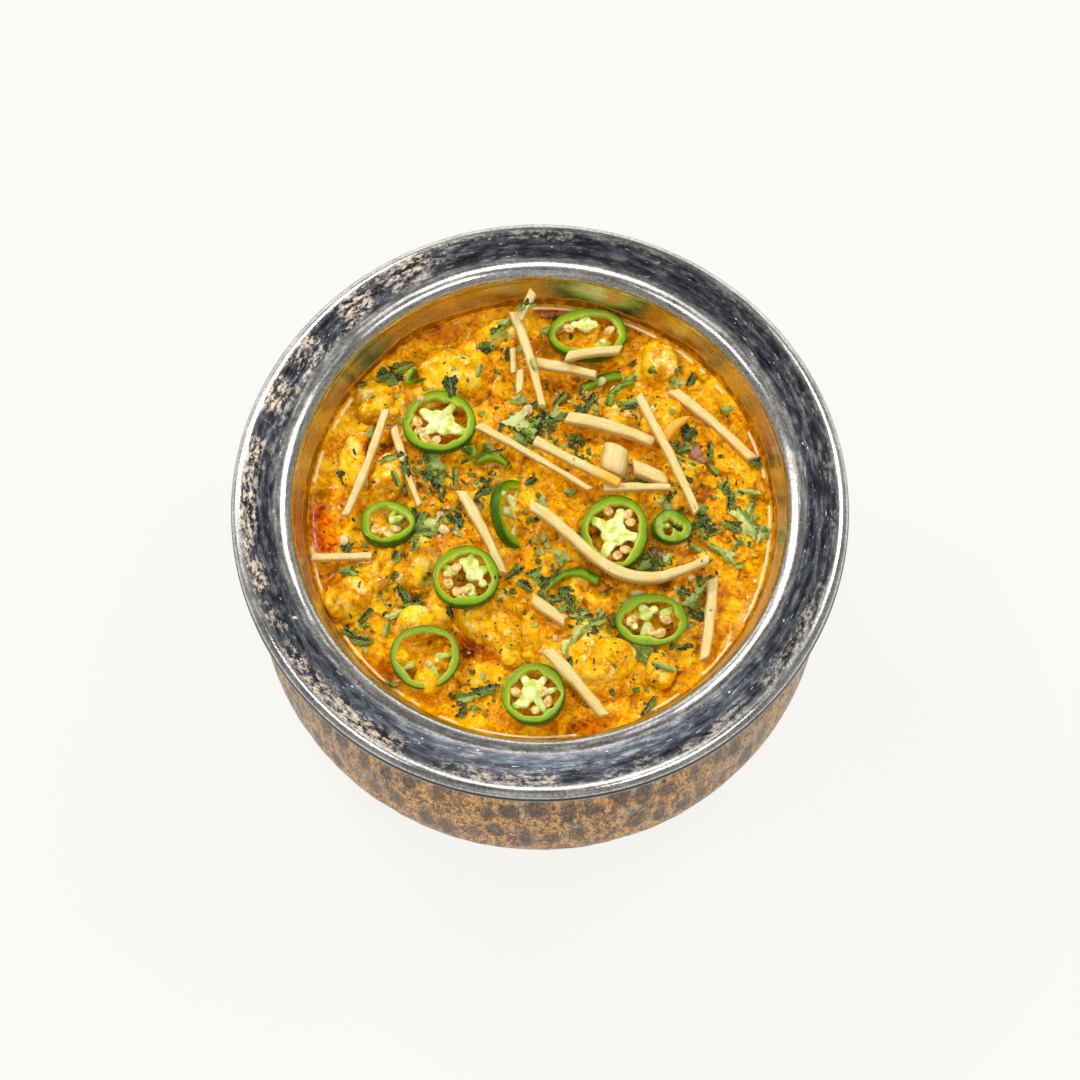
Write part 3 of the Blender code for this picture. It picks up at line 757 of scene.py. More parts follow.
def makeChicken(node, look, seed):
    # the model's plain lump, subdivided and worked into lobes, folds and crumbs
    bm = bmesh.new()
    bm.from_mesh(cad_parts[node].data)
    bmesh.ops.remove_doubles(bm, verts=bm.verts[:], dist=0.00001)
    low, high = np.array(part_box(node)[0]), np.array(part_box(node)[1])
    large = max(high[:2] - low[:2]) > meatLook["largeFrom"]
    vertices, faces = worked(bm, SUBSURF={"levels": meatLook["sub"] if large else meatLook["sub"] - 1})
    piece = meshPiece(node + "_coated", vertices, faces, look, [node])
    spots = corners(piece)
    # grow back what the smoothing took, and more above the gravy
    least, most = spots.min(axis=0), spots.max(axis=0)
    swell = meatLook["swell"] if large else np.array(meatLook["smallSwell"])
    spots = (low + high) / 2 + (spots - (most + least) / 2) * ((high - low) / (most - least)) * swell
    spots[:, 2] += np.maximum(spots[:, 2] - liner["gravyLevel"], 0.0) * meatLook["stand"]
    moveCorners(piece, spots)
    # lobes run across the grain of the meat
    turn = math.radians(meatLook["grainTurn"] + 37 * seed)
    shape = spun(spots, -turn) * [0.55, 1.0, 0.8]
    shape += 0.0009 * np.stack([waver(spots, 4.0, seed + k) for k in (6, 7, 8)], axis=1)
    lobes = rounds(shape, meatLook["lobesMm"] * (1.0 if large else 0.72), seed)
    folds = rounds(shape + 0.0012 * waver(shape, 3.0, seed + 2)[:, None], meatLook["foldsMm"], seed + 3)
    lift = (lobes - 0.66) * meatLook["lobeHeightMm"] * (1.0 if large else 0.66)
    lift += (folds - 0.5) * meatLook["foldHeightMm"]
    lift += waver(spots, meatLook["crumbMm"], seed + 4) * meatLook["crumbHeightMm"]
    spots = spots + outward(piece) * (lift * mm)[:, None]
    # stay inside the wall of the liner
    reach = np.hypot(spots[:, 0], spots[:, 1])
    pull = np.minimum(1.0, (wallRadius(spots[:, 2]) - 0.0006) / np.maximum(reach, 1e-6))
    spots[:, :2] *= pull[:, None]
    moveCorners(piece, spots)
    above = (spots[:, 2] - liner["gravyLevel"] - 0.0012) / (high[2] - liner["gravyLevel"] - 0.0012)
    # rise marks the raised lobes, painted paler as light; the crease value marks the creases, painted darker
    # as shade and gathered oil
    paint(piece, rise=np.clip(above, 0, 1) * (0.45 + 0.55 * lobes), crease=(1 - lobes) * (1 - folds * 0.5))
    return piece


meatFinish = coatedMeatFinish()
chickenPieces = [makeChicken(name, meatFinish, 40 + 7 * i) for i, name in enumerate(nodesOf("chicken_"))]
print("chicken pieces shaped:", len(chickenPieces))


# height map of what lies in the bowl

class Surface:
    # heights on an even square grid, raised by each piece that is laid in the bowl

    def __init__(self, cell, reach):
        self.cell = cell
        self.reach = reach
        self.count = int(2 * reach / cell)
        line = (np.arange(self.count) + 0.5) * cell - reach
        self.x, self.y = np.meshgrid(line, line, indexing="ij")
        self.heights = np.zeros((self.count, self.count))

    def cast(self, piece, fromAbove=True):
        # heights of the piece's top, or of its underside, over its own window; nan beside it
        mesh = piece.data
        tree = BVHTree.FromPolygons([v.co for v in mesh.vertices], [p.vertices[:] for p in mesh.polygons])
        spots = corners(piece)
        low = np.clip(np.floor((spots.min(axis=0) + self.reach) / self.cell).astype(int), 0, self.count)
        high = np.clip(np.ceil((spots.max(axis=0) + self.reach) / self.cell).astype(int), 0, self.count)
        found = np.full((high[0] - low[0], high[1] - low[1]), np.nan)
        start, way = (0.2, Vector((0, 0, -1))) if fromAbove else (0.0, Vector((0, 0, 1)))
        for i in range(low[0], high[0]):
            for j in range(low[1], high[1]):
                hit = tree.ray_cast(Vector((self.x[i, j], self.y[i, j], start)), way)[0]
                if hit is not None:
                    found[i - low[0], j - low[1]] = hit.z
        return (slice(low[0], high[0]), slice(low[1], high[1])), found

    def add(self, piece):
        window, found = self.cast(piece)
        self.heights[window] = np.fmax(self.heights[window], found)

    def at(self, x, y, values=None):
        values = self.heights if values is None else values
        u = np.clip((np.asarray(x) + self.reach) / self.cell - 0.5, 0, self.count - 1.001)
        v = np.clip((np.asarray(y) + self.reach) / self.cell - 0.5, 0, self.count - 1.001)
        i, j = u.astype(int), v.astype(int)
        lower = mixed(values[i, j], values[i, j + 1], v - j)
        upper = mixed(values[i + 1, j], values[i + 1, j + 1], v - j)
        return mixed(lower, upper, u - i)

    def spot(self, xMm, yMm, values):
        return float(self.at(np.array([xMm * mm]), np.array([yMm * mm]), values)[0])


def softened(values, cells):
    # even blur over a number of cells
    reach = int(3 * cells)
    weights = np.exp(-0.5 * (np.arange(-reach, reach + 1) / cells) ** 2)
    weights /= weights.sum()
    for axis in (0, 1):
        values = sum(weight * np.roll(values, step, axis=axis)
                     for step, weight in zip(range(-reach, reach + 1), weights))
    return values


surface = Surface(0.0004, 0.074)


# ginger sticks

gingerLook = {
    "around": 28, "roundness": 3.2, "stepMm": 0.6, "fibreMm": 0.05, "endMm": 0.5, "knobEndMm": 2.0,
    "knobs": {"ginger_10": 3.0, "ginger_15": 2.3},  # thick slices and how square each is
    # sticks dipped in sauce: from where along the stick the sauce starts and where it is full
    "coated": {"ginger_14": (0.55, 1.0), "ginger_15": (-0.4, 0.2), "ginger_17": (0.3, 2.2)},
}


def stationsOf(node):
    # four corners at each cut along a stick of the model, ordered along it
    spots = np.unique(np.round(corners(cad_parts[node]), 7), axis=0)
    centre = spots.mean(axis=0)
    longest = np.linalg.svd(spots - centre)[2][0]
    if longest[0] < 0:
        longest = -longest
    # on a short wide slice the longest way runs corner to corner, so nearby headings are tried too
    loosest = 1e9
    for turn in range(-40, 41, 2):
        way = spun(longest, math.radians(turn))
        far = np.sort((spots - centre) @ way).reshape(-1, 4)
        if np.ptp(far, axis=1).sum() < loosest:
            loosest, along = np.ptp(far, axis=1).sum(), way
    up = np.array([0.0, 0.0, 1.0]) - along * along[2]
    up /= np.linalg.norm(up)
    side = np.cross(up, along)
    order = np.argsort((spots - centre) @ along)
    groups = []
    for i in range(0, len(spots), 4):
        four = spots[order[i:i + 4]]
        offset = four - four.mean(axis=0)
        groups.append(four[np.argsort(np.arctan2(offset @ up, offset @ side))])
    return np.array(groups)


def through(points, share):
    # smooth curve through evenly spaced points, share from 0 to 1
    last = len(points) - 1
    place = np.clip(share * last, 0, last)
    i = int(min(place, last - 1e-9))
    t = place - i
    before = points[i - 1] if i > 0 else 2 * points[0] - points[1]
    after = points[i + 2] if i + 2 <= last else 2 * points[last] - points[last - 1]
    a, b = points[i], points[i + 1]
    return 0.5 * (2 * a + (b - before) * t + (2 * before - 5 * a + 4 * b - after) * t * t
                  + (3 * a - before - 3 * b + after) * t * t * t)


def stickMesh(groups, around, roundness, stepMm, endMm, knob=False):
    # rows of a rounded section along the stick, closed by its two end cuts
    length = np.linalg.norm(groups[-1].mean(axis=0) - groups[0].mean(axis=0))
    steps = max(8, int(length / (stepMm * mm)))
    edge = endMm * mm / length
    even = np.linspace(edge * 2, 1 - edge * 2, steps)
    shares = [0.0, edge * 0.35, edge, *even, 1 - edge, 1 - edge * 0.35, 1.0]
    sizes = [0.90, 0.965, 1.0] + [1.0] * steps + [1.0, 0.965, 0.90]
    if knob:
        sizes = [0.5 + 0.85 * max(0.0, 1 - abs(2 * share - 1) ** 4) ** 0.5 for share in shares]
    turns = (np.arange(around) + 0.5) * 2 * math.pi / around
    a, b = [np.sign(wave) * np.abs(wave) ** (2 / roundness) for wave in (np.cos(turns), np.sin(turns))]
    rows, marks = [], []
    for share, size in zip(shares, sizes):
        four = through(groups, share)
        weights = [(1 - a * size) * (1 - b * size), (1 + a * size) * (1 - b * size),
                   (1 + a * size) * (1 + b * size), (1 - a * size) * (1 + b * size)]
        rows.append(sum(0.25 * w[:, None] * corner for w, corner in zip(weights, four)))
        marks.append(np.stack([np.full(around, share * length), a, b], axis=1))
    # each end closes in two smaller rows and a point; the far end is cut a little hollow
    start, finish = rows[0].mean(axis=0), rows[-3].mean(axis=0)
    small, tiny = 0.62, 0.28
    first, last = rows[0] - start, rows[-1] - finish
    rows = [start + first * tiny, start + first * small, *rows, finish + last * small, finish + last * tiny]
    shrink = np.array([1, small, small])
    inwards = [marks[0] * shrink, marks[-1] * shrink]
    deeper = [mark * np.array([1, tiny, tiny]) for mark in inwards]
    marks = [deeper[0], inwards[0], *marks, inwards[1], deeper[1]]
    fields = np.concatenate(marks)
    faces = bands(len(rows), around)
    base = (len(rows) - 1) * around
    tip = base + around
    for j in range(around):
        k = (j + 1) % around
        faces += [(k, j, tip), (base + j, base + k, tip + 1)]
    vertices = np.vstack([*rows, rows[0].mean(axis=0), rows[-1].mean(axis=0)])
    return vertices, faces, np.vstack([fields, fields[0] * [1, 0, 0], fields[-1] * [1, 0, 0]])


def gingerFinish():
    look = newFinish("rawGinger")
    here = places(look)
    fibre = grain(stretched(places(look, "stickPlace"), (0.10, 1.0, 1.0)), 0.5, 4, 0.6)
    colour = shades(fibre, (0.30, 214, 188, 118), (0.50, 228, 206, 142), (0.70, 238, 222, 166))
    colour = blend(ramp(grain(here, 3.5, 3), 0.44, 0.60, 0.0, 0.40), colour, (222, 190, 96))
    dots = ramp(cellsOf(here, 1.7), 0.06, 0.12, 1.0, 0.0)
    colour = blend(times(dots, 0.7), colour, (132, 88, 34))
    # painted shade: darker tan along the sides of each stick below its top
    colour = blend(ramp(number(look, "edge"), 0.45, 1.0, 0.0, 0.6), colour, (206, 168, 84))
    colour = blend(number(look, "coat"), colour, (250, 178, 44))
    return finished(look, colour, 0.42, relief(fibre, 0.05, 0.4), 0.3, (0.15, (1.0, 0.7, 0.35), 0.001))


def makeStick(node, look, seed):
    knob = node in gingerLook["knobs"]
    roundness = gingerLook["knobs"].get(node, gingerLook["roundness"])
    endMm = gingerLook["knobEndMm" if knob else "endMm"]
    vertices, faces, fields = stickMesh(stationsOf(node), gingerLook["around"], roundness,
                                        gingerLook["stepMm"], endMm, knob)
    piece = meshPiece(node + "_cut", vertices, faces, look, [node])
    spots = corners(piece)
    lift = gingerLook["fibreMm"] * waver(fields * [0.12, 0.0016, 0.0016], 0.5, seed)
    lift += 0.24 * waver(spots, 3.6, seed + 1) + 0.08 * waver(spots, 1.4, seed + 4)
    moveCorners(piece, spots + outward(piece) * (lift * mm)[:, None])
    paintPlaces(piece, "stickPlace", fields * [1.0, 0.0018, 0.0018] + seed * 0.01)
    share = fields[:, 0] / max(fields[:, 0].max(), 1e-6)
    coat = 0.75 * smooth(-fields[:, 2], 0.1, 1.0) + 0.12 * waver(spots, 2.0, seed + 2)
    if node in gingerLook["coated"]:
        start, end = gingerLook["coated"][node]
        dipped = smooth((share - start) / (end - start), 0.0, 1.0) + 0.2 * waver(spots, 1.5, seed + 3)
        coat = np.maximum(coat, dipped)
    # edge marks the sides of the stick below its top, where shade is painted
    paint(piece, coat=np.clip(coat, 0, 1), edge=np.abs(fields[:, 1]) * (fields[:, 2] < 0.75))
    return piece


rawGinger = gingerFinish()
gingerPieces = [makeStick(name, rawGinger, 100 + 5 * i) for i, name in enumerate(nodesOf("ginger_"))]
print("ginger sticks cut:", len(gingerPieces))


# green chilli

def chilliFinish():
    look = newFinish("greenChilli")
    here, depth = places(look), number(look, "depth")
    fine = grain(here, 0.7, 3)
    place = plus(depth, ramp(grain(here, 4.0, 3), 0.3, 0.7, -0.07, 0.07))
    colour = shades(place, (0.0, 54, 94, 0), (0.09, 66, 106, 0), (0.20, 110, 148, 0), (0.60, 138, 168, 4),
                    (0.84, 164, 184, 34), (0.95, 196, 206, 84))
    colour = blend(ramp(fine, 0.50, 0.78, 0.0, 0.22), colour, (190, 210, 90))
    return finished(look, colour, ramp(depth, 0.0, 0.4, 0.14, 0.30), relief(fine, 0.06, 0.4), 0.3,
                    (0.15, (0.8, 1.0, 0.2), 0.0008))


def pithFinish():
    look = newFinish("chilliPith")
    here = places(look)
    colour = shades(grain(here, 2.2, 2, 0.5), (0.36, 196, 204, 84), (0.48, 230, 232, 136),
                    (0.60, 250, 248, 190))
    colour = blend(number(look, "green"), colour, (148, 176, 30))
    bumps = relief(grain(here, 0.8, 2), 0.12, 0.5)
    return finished(look, colour, 0.4, bumps, 0.3, (0.2, (0.8, 1.0, 0.5), 0.0008))


def seedFinish():
    look = newFinish("chilliSeed")
    fine = grain(places(look), 1.2, 2)
    colour = shades(fine, (0.34, 188, 140, 66), (0.48, 224, 184, 104), (0.64, 242, 214, 146))
    return finished(look, colour, 0.32, relief(fine, 0.1, 0.5), 0.3)


# For each ring: wall thickness, then the pale pith as arms and lumps, then the seeds.
# An arm is (turn, start share, end share, half width, green); a lump is (turn, share, half size);
# a seed is (turn, share).
# Turns are degrees from +X, shares are of the ring's inner radius, sizes are in millimetres.
ringLooks = {
    "chilli_ring_01": {"wall": 2.5, "arms": [(96, 0.5, 1.05, 1.7, 0.2), (-48, 0.68, 1.05, 1.3, 0.8)],
        "lumps": [(112, 0.62, 1.6), (72, 0.6, 1.5), (-38, 0.62, 1.1), (128, 0.72, 1.2), (-65, 0.7, 1.0)],
        "seeds": [(150, 0.76), (20, 0.74)]},
    "chilli_ring_02": {"wall": 2.5, "arms": [(58, 0.1, 1.05, 1.5, 0.5), (140, 0.1, 0.8, 1.7, 0),
                    (-25, 0.1, 1.0, 1.9, 0), (-140, 0.1, 0.72, 1.5, 0)],
        "lumps": [(180, 0.05, 3.0), (20, 0.3, 2.4), (100, 0.35, 1.8), (-60, 0.3, 2.0)],
        "seeds": [(178, 0.78), (206, 0.8), (-126, 0.84), (-98, 0.78)]},
    "chilli_ring_03": {"wall": 2.2, "arms": [(35, 0.35, 1.05, 0.9, 0.6), (70, 0.5, 1.05, 0.7, 0.7)],
        "lumps": [(60, 0.35, 0.9)],
        "seeds": [(-120, 0.5), (-80, 0.65), (-150, 0.7), (-40, 0.5)]},
    "chilli_ring_04": {"wall": 2.5, "arms": [(80, 0.1, 1.05, 1.6, 0.2), (-20, 0.1, 1.0, 1.4, 0.3),
                    (180, 0.3, 1.0, 1.3, 0.3)],
        "lumps": [(90, 0.45, 2.2), (60, 0.2, 2.0), (120, 0.6, 1.6)],
        "seeds": [(-70, 0.55), (-40, 0.7), (-95, 0.72)]},
    "chilli_ring_05": {"wall": 2.6, "arms": [(150, 0.1, 0.95, 1.7, 0), (72, 0.1, 0.8, 1.6, 0),
                    (-12, 0.1, 1.0, 1.7, 0), (-118, 0.1, 1.0, 1.7, 0.1)],
        "lumps": [(0, 0.05, 3.0), (-60, 0.25, 2.3), (110, 0.3, 2.2), (30, 0.25, 1.9), (-160, 0.3, 2.0)],
        "seeds": [(108, 0.82), (50, 0.82), (28, 0.74), (-82, 0.8), (-56, 0.74)]},
    "chilli_ring_06": {"wall": 3.3, "arms": [(150, 0.6, 1.1, 0.7, 0.6)],
        "lumps": [],
        "seeds": []},
    "chilli_ring_07": {"wall": 2.4, "arms": [(115, 0.3, 1.05, 1.4, 0.4), (-110, 0.3, 1.0, 1.0, 0.5),
                    (40, 0.55, 1.05, 1.1, 0.5)],
        "lumps": [(130, 0.35, 1.6), (80, 0.6, 1.3), (-150, 0.7, 1.2)],
        "seeds": [(178, 0.7), (-65, 0.78), (10, 0.5), (-95, 0.6)]},
    "chilli_ring_08": {"wall": 2.0, "arms": [(5, 0.45, 1.05, 0.8, 0.6), (-60, 0.5, 1.05, 0.8, 0.7),
                    (-150, 0.6, 1.05, 0.8, 0.6)],
        "lumps": [(-20, 0.45, 0.8)],
        "seeds": [(-70, 0.35)]},
    "chilli_ring_09": {"wall": 2.3, "arms": [(120, 0.15, 0.98, 1.5, 0.1), (-150, 0.1, 0.9, 1.6, 0.2),
                    (10, 0.1, 0.95, 1.1, 0.4), (-60, 0.2, 1.0, 1.1, 0.5), (60, 0.3, 1.0, 1.1, 0.3)],
        "lumps": [(150, 0.4, 1.6), (-140, 0.6, 1.6), (90, 0.5, 1.3)],
        "seeds": [(170, 0.78), (20, 0.4), (-85, 0.7), (-35, 0.68)]},
    "chilli_ring_10": {"wall": 2.5, "arms": [(78, 0.4, 1.05, 1.4, 0.2), (25, 0.3, 1.05, 1.5, 0.4),
                    (-70, 0.5, 1.05, 1.2, 0.5), (150, 0.6, 1.05, 1.1, 0.5)],
        "lumps": [(60, 0.7, 1.6), (10, 0.5, 1.6), (100, 0.72, 1.3), (-20, 0.75, 1.2), (-100, 0.8, 1.0)],
        "seeds": [(165, 0.74), (200, 0.74), (-120, 0.72), (-92, 0.55), (128, 0.6)]},
}
ringShape = {
    "around": 120, "halfMm": 1.6, "pithHalfMm": 1.35, "pithCutMm": 0.8, "voxelMm": 0.26,
    "seedMm": (1.75, 1.4, 0.55),
    # the cut wall from the skin inwards: share of its thickness, and height from -1 to 1
    "section": [(0.0, -0.80), (-0.02, 0.0), (0.0, 0.84), (0.05, 0.96), (0.13, 1.0), (0.30, 0.99),
                (0.50, 0.96), (0.72, 0.97), (0.90, 0.91), (0.99, 0.66), (1.02, 0.0), (1.0, -0.60),
                (0.90, -0.88), (0.6, -0.97), (0.25, -0.99), (0.06, -0.92)],
}


def ringFrame(node):
    # middle, half sizes and own directions of a ring of the model
    spots = np.unique(np.round(corners(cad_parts[node]), 7), axis=0)
    up = np.linalg.svd(spots - spots.mean(axis=0))[2][2]
    if up[2] < 0:
        up = -up
    right = np.array([1.0, 0.0, 0.0]) - up * up[0]
    right /= np.linalg.norm(right)
    axes = np.stack([right, np.cross(up, right), up])
    local = spots @ axes.T
    low, high = local.min(axis=0), local.max(axis=0)
    return (low + high) / 2, (high - low) / 2, axes


def ballsJoined(balls):
    # one smooth body from overlapping flattened balls of (x, y, radius)
    bm = bmesh.new()
    for x, y, radius in balls:
        made = bmesh.ops.create_icosphere(bm, subdivisions=2, radius=radius)
        flatness = min(1.0, ringShape["pithHalfMm"] * mm / radius)
        for vertex in made["verts"]:
            vertex.co = Vector((x + vertex.co.x, y + vertex.co.y, vertex.co.z * flatness))
    voxels = {"mode": "VOXEL", "voxel_size": ringShape["voxelMm"] * mm}
    return worked(bm, REMESH=voxels, SMOOTH={"iterations": 3})


def pipProfile(bulge, count):
    side = [(math.cos(t), math.sin(t)) for t in np.linspace(-bulge, bulge, count)]
    return [(0.0, -1.0), *side, (0.0, 1.0)]


def seedMesh(seed):
    # flat, slightly pointed seed about its own middle
    vertices, faces = turned(pipProfile(1.25, 7), 16)
    point = np.clip(vertices[:, 0], 0, 1) ** 3
    vertices = vertices * np.array(ringShape["seedMm"]) * mm
    vertices[:, 0] *= 1 + 0.25 * point
    vertices[:, 2] *= 1 - 0.4 * point
    bend = random.Random(seed)
    turn, lean = bend.uniform(0, 2 * math.pi), bend.uniform(-0.5, 0.5)
    c, s = math.cos(lean), math.sin(lean)
    return spun(vertices @ np.array([[c, 0, s], [0, 1, 0], [-s, 0, c]]), turn), faces


def ringWall(half, wallMm, seed):
    # the ring of flesh: rounded skin outside, cut faces above and below, wavy inside
    turns = turnsOf(ringShape["around"])
    circle = ringOf(turns, 0.004, 0.004, 0.0)
    lobe = 1 + 0.018 * np.cos(3 * turns + seed) + 0.012 * waver(circle, 2.5, seed)
    thick = wallMm * mm * (0.96 + 0.20 * np.cos(3 * turns + 1.9 * seed) + 0.34 * waver(circle, 1.6, seed + 1))
    rows, depths = [], []
    for depth, height in ringShape["section"]:
        inset = depth * thick * (1 + (depth > 0.6) * 0.16 * waver(circle, 0.7, seed + 2))
        z = height * ringShape["halfMm"] * mm * (1 + 0.05 * waver(circle, 1.5, seed + 3))
        rows.append(ringOf(turns, half[0] * lobe - inset, half[1] * lobe - inset, z))
        depths.append(np.full(len(turns), min(1.0, max(0.0, depth))))
    return np.concatenate(rows), bands(len(rows), len(turns), closed=True), np.concatenate(depths)


def makeRing(node, finishes, seed):
    middle, half, axes = ringFrame(node)
    spec = ringLooks[node]
    innerX, innerY = half[0] - spec["wall"] * mm, half[1] - spec["wall"] * mm

    def inside(turn, share):
        a = math.radians(turn)
        return innerX * share * math.cos(a), innerY * share * math.sin(a)

    # wall, pith and seeds are each (corners, faces, depth under the skin, green)
    vertices, faces, depth = ringWall(half, spec["wall"], seed)
    parts = [(vertices, faces, depth, np.zeros(len(vertices)))]
    balls, greens = [], []
    for turn, start, end, wide, leafy in spec["arms"]:
        for i in range(14):
            size = wide * mm * (1.25 - 0.62 * i / 13 + 0.18 * math.cos(2.4 * i + turn))
            balls.append((*inside(turn, mixed(start, end, i / 13)), size))
            greens.append(leafy)
    for turn, share, size in spec["lumps"]:
        balls.append((*inside(turn, share), size * mm))
        greens.append(0.0)
    pith, pithFaces = ballsJoined(balls)
    near = ((pith[:, None, :2] - np.array(balls)[None, :, :2]) ** 2).sum(axis=2).argmin(axis=1)
    pith = pith + 0.30 * mm * np.stack([waver(pith, 1.5, seed + k) for k in (5, 6, 7)], axis=1)
    cut = ringShape["pithCutMm"] * mm * (1 + 0.3 * waver(pith * [1, 1, 0], 1.6, seed + 8))
    pith[:, 2] = np.clip(pith[:, 2], -cut, cut)
    edge = smooth(np.hypot(pith[:, 0] / innerX, pith[:, 1] / innerY), 0.75, 1.0)
    parts.append((pith, pithFaces, np.ones(len(pith)), np.clip(np.array(greens)[near] + 0.8 * edge, 0, 1)))
    for i, (turn, share) in enumerate(spec["seeds"]):
        pip, pipFaces = seedMesh(seed * 31 + i)
        pip = pip + np.array([*inside(turn, share), 0.0004])
        parts.append((pip, pipFaces, np.ones(len(pip)), np.zeros(len(pip))))
    faces, slots, start = [], [], 0
    for i, (spots, partFaces, *_) in enumerate(parts):
        faces += [tuple(start + k for k in face) for face in partFaces]
        slots += [min(i, 2)] * len(partFaces)
        start += len(spots)
    placed = (np.vstack([part[0] for part in parts]) + middle) @ axes
    piece = meshPiece(node + "_sliced", placed, faces, finishes, [node])
    piece.data.polygons.foreach_set("material_index", slots)
    paint(piece, depth=np.concatenate([part[2] for part in parts]),
          green=np.concatenate([part[3] for part in parts]))
    return piece


def makeStrip(node, look, seed):
    # a sliver of chilli wall: skin on one side, pale flesh on the other
    vertices, faces, fields = stickMesh(stationsOf(node), 24, 3.0, 0.45, 0.5)
    piece = meshPiece(node + "_sliver", vertices, faces, look, [node])
    spots = corners(piece)
    lift = 0.14 * waver(spots, 1.8, seed) + 0.05 * waver(spots, 0.7, seed + 1)
    moveCorners(piece, spots + outward(piece) * (lift * mm)[:, None])
    depth = 0.28 - 0.30 * fields[:, 1] - 0.10 * fields[:, 2] + 0.1 * waver(spots, 1.5, seed + 2)
    paint(piece, depth=np.clip(depth, 0, 1))
    return piece


chilliFinishes = [chilliFinish(), pithFinish(), seedFinish()]
ringPieces = [makeRing(name, chilliFinishes, 3 + 11 * i) for i, name in enumerate(nodesOf("chilli_ring_"))]
stripPieces = [makeStrip(name, chilliFinishes[0], 400 + 9 * i)
               for i, name in enumerate(nodesOf("chilli_strip_"))]
garnish = ringPieces + stripPieces + gingerPieces
print("green chilli sliced:", len(ringPieces), "rings and", len(stripPieces), "slivers")


# gravy

gravy = {
    "grid": 286, "swellMm": 2.2, "rippleMm": 0.6, "curdMm": 0.16, "lumpMm": 1.5, "beadMm": 0.42,
    "climbMm": 1.5, "wallClimbMm": 2.0, "wallReachMm": 1.4, "oilDropMm": 0.35, "gapMm": 0.6,
    "gapToLiner": 0.0002,
    # heaps of sauce lying over garnish: x, y, radius, height in mm
    "heaps": [(-40.5, -44, 5.0, 5.2), (-32, -51.5, 5.0, 4.6), (-26, -42, 3.0, 3.0),
              (-43.5, -9.5, 4.5, 4.2), (40, 0, 3.0, 1.4), (-13, -31, 5.0, 0.8), (6, 10, 6.0, 0.8),
              (22, 20, 5.0, 0.8), (-20, 22, 6.0, 1.0), (48, -14, 6.0, 0.8)],
    # oil pools: x, y, length, width, heading in mm and degrees, strength, redness
    "oil": [(-64, -4, 9, 18, 10, 1.0, 0.8), (-62, -20, 8, 10, 0, 0.6, 0.4),
            (-29, 60, 16, 6, 25, 0.9, 0.0), (-20, -41, 23, 7, -25, 1.0, 0.1), (4, 66, 18, 4, 0, 1.0, 0.0),
            (15, -64.5, 15, 6, 10, 0.9, 0.3), (64.5, 22, 6, 17, 12, 0.8, 0.5),
            (-47, -47, 16, 6, -45, 0.7, 0.3), (50, 7, 5, 6, 0, 0.6, 0.7), (22, 63, 22, 4, -20, 0.6, 0.1),
            (40, -38, 12, 9, 30, 0.35, 0.1), (56, -44, 8, 10, -40, 0.4, 0.2),
            (-16, 46, 6, 9, 0, 0.7, 0.0), (-53, 3, 8, 5, 30, 0.5, 0.2), (-25, 0, 16, 6, 0, 0.4, 0.0),
            (30, 0, 14, 5, 10, 0.4, 0.0), (12, -30, 18, 6, -10, 0.6, 0.0), (-4, -62, 10, 5, 0, 0.5, 0.2),
            (18, -22, 14, 8, 10, 0.5, 0.0), (2, 40, 8, 12, 0, 0.5, 0.0), (33, -21, 16, 6, 0, 0.7, 0.0),
            (46, -28, 8, 12, 0, 0.5, 0.0), (26, 8, 12, 6, 0, 0.4, 0.0), (2, -8, 9, 5, 0, 0.5, 0.0),
            (33, -13, 13, 6, 10, 0.8, 0.1), (46, -6, 9, 11, -30, 0.8, 0.0),
            (17, -33, 11, 8, 0, 0.85, 0.1), (-8, -14, 12, 5, 20, 0.6, 0.0), (46, -17, 7, 7, 0, 0.7, 0.1)],
}


def discGrid(count, radius):
    # even square grid bent to fill a disc
    line = np.linspace(-1, 1, count + 1)
    u, v = np.meshgrid(line, line, indexing="ij")
    wide = np.abs(u) > np.abs(v)
    safeU, safeV = np.where(u == 0, 1, u), np.where(v == 0, 1, v)
    turn = np.where(wide, math.pi / 4 * v / safeU, math.pi / 2 - math.pi / 4 * u / safeV)
    reach = np.where(wide, u, v)
    return (reach * np.cos(turn) * radius).ravel(), (reach * np.sin(turn) * radius).ravel()


def restLevel(x, y):
    # still surface of the gravy, as in the model
    reach = np.hypot(x, y) / liner["gravyRadius"]
    calm = np.clip(1 - reach ** 4, 0, 1)
    ripple = np.sin(210 * x + 70 * y + 0.8) + np.sin(190 * y - 90 * x + 2.1)
    swell = gravy["swellMm"] * (1 - reach ** 2)
    return liner["gravyLevel"] + (swell + gravy["rippleMm"] * ripple * calm) * mm


def oilShare(points):
    share, red = np.zeros(len(points)), np.zeros(len(points))
    for i, (cx, cy, length, width, heading, strength, redness) in enumerate(gravy["oil"]):
        offset = spun(points - np.array([cx, cy, 0]) * mm, -math.radians(heading))
        edge = np.hypot(offset[:, 0] / (0.5 * length * mm), offset[:, 1] / (0.5 * width * mm))
        edge += 0.35 * waver(points, 3.0, 70 + i) + 0.15 * waver(points, 1.2, 90 + i)
        share = np.maximum(share, strength * (1 - smooth(edge, 0.5, 1.25)))
        red = np.maximum(red, redness * (1 - smooth(edge, 0.8, 1.5)))
    return share, red


def meetingPlaces(pieces, nearMm):
    # where pieces come down to the gravy, on the square grid
    touch = np.zeros_like(surface.heights)
    rest = restLevel(surface.x, surface.y)
    for piece in pieces:
        window, under = surface.cast(piece, fromAbove=False)
        touch[window] = np.maximum(touch[window], under < rest[window] + nearMm * mm)
    return touch


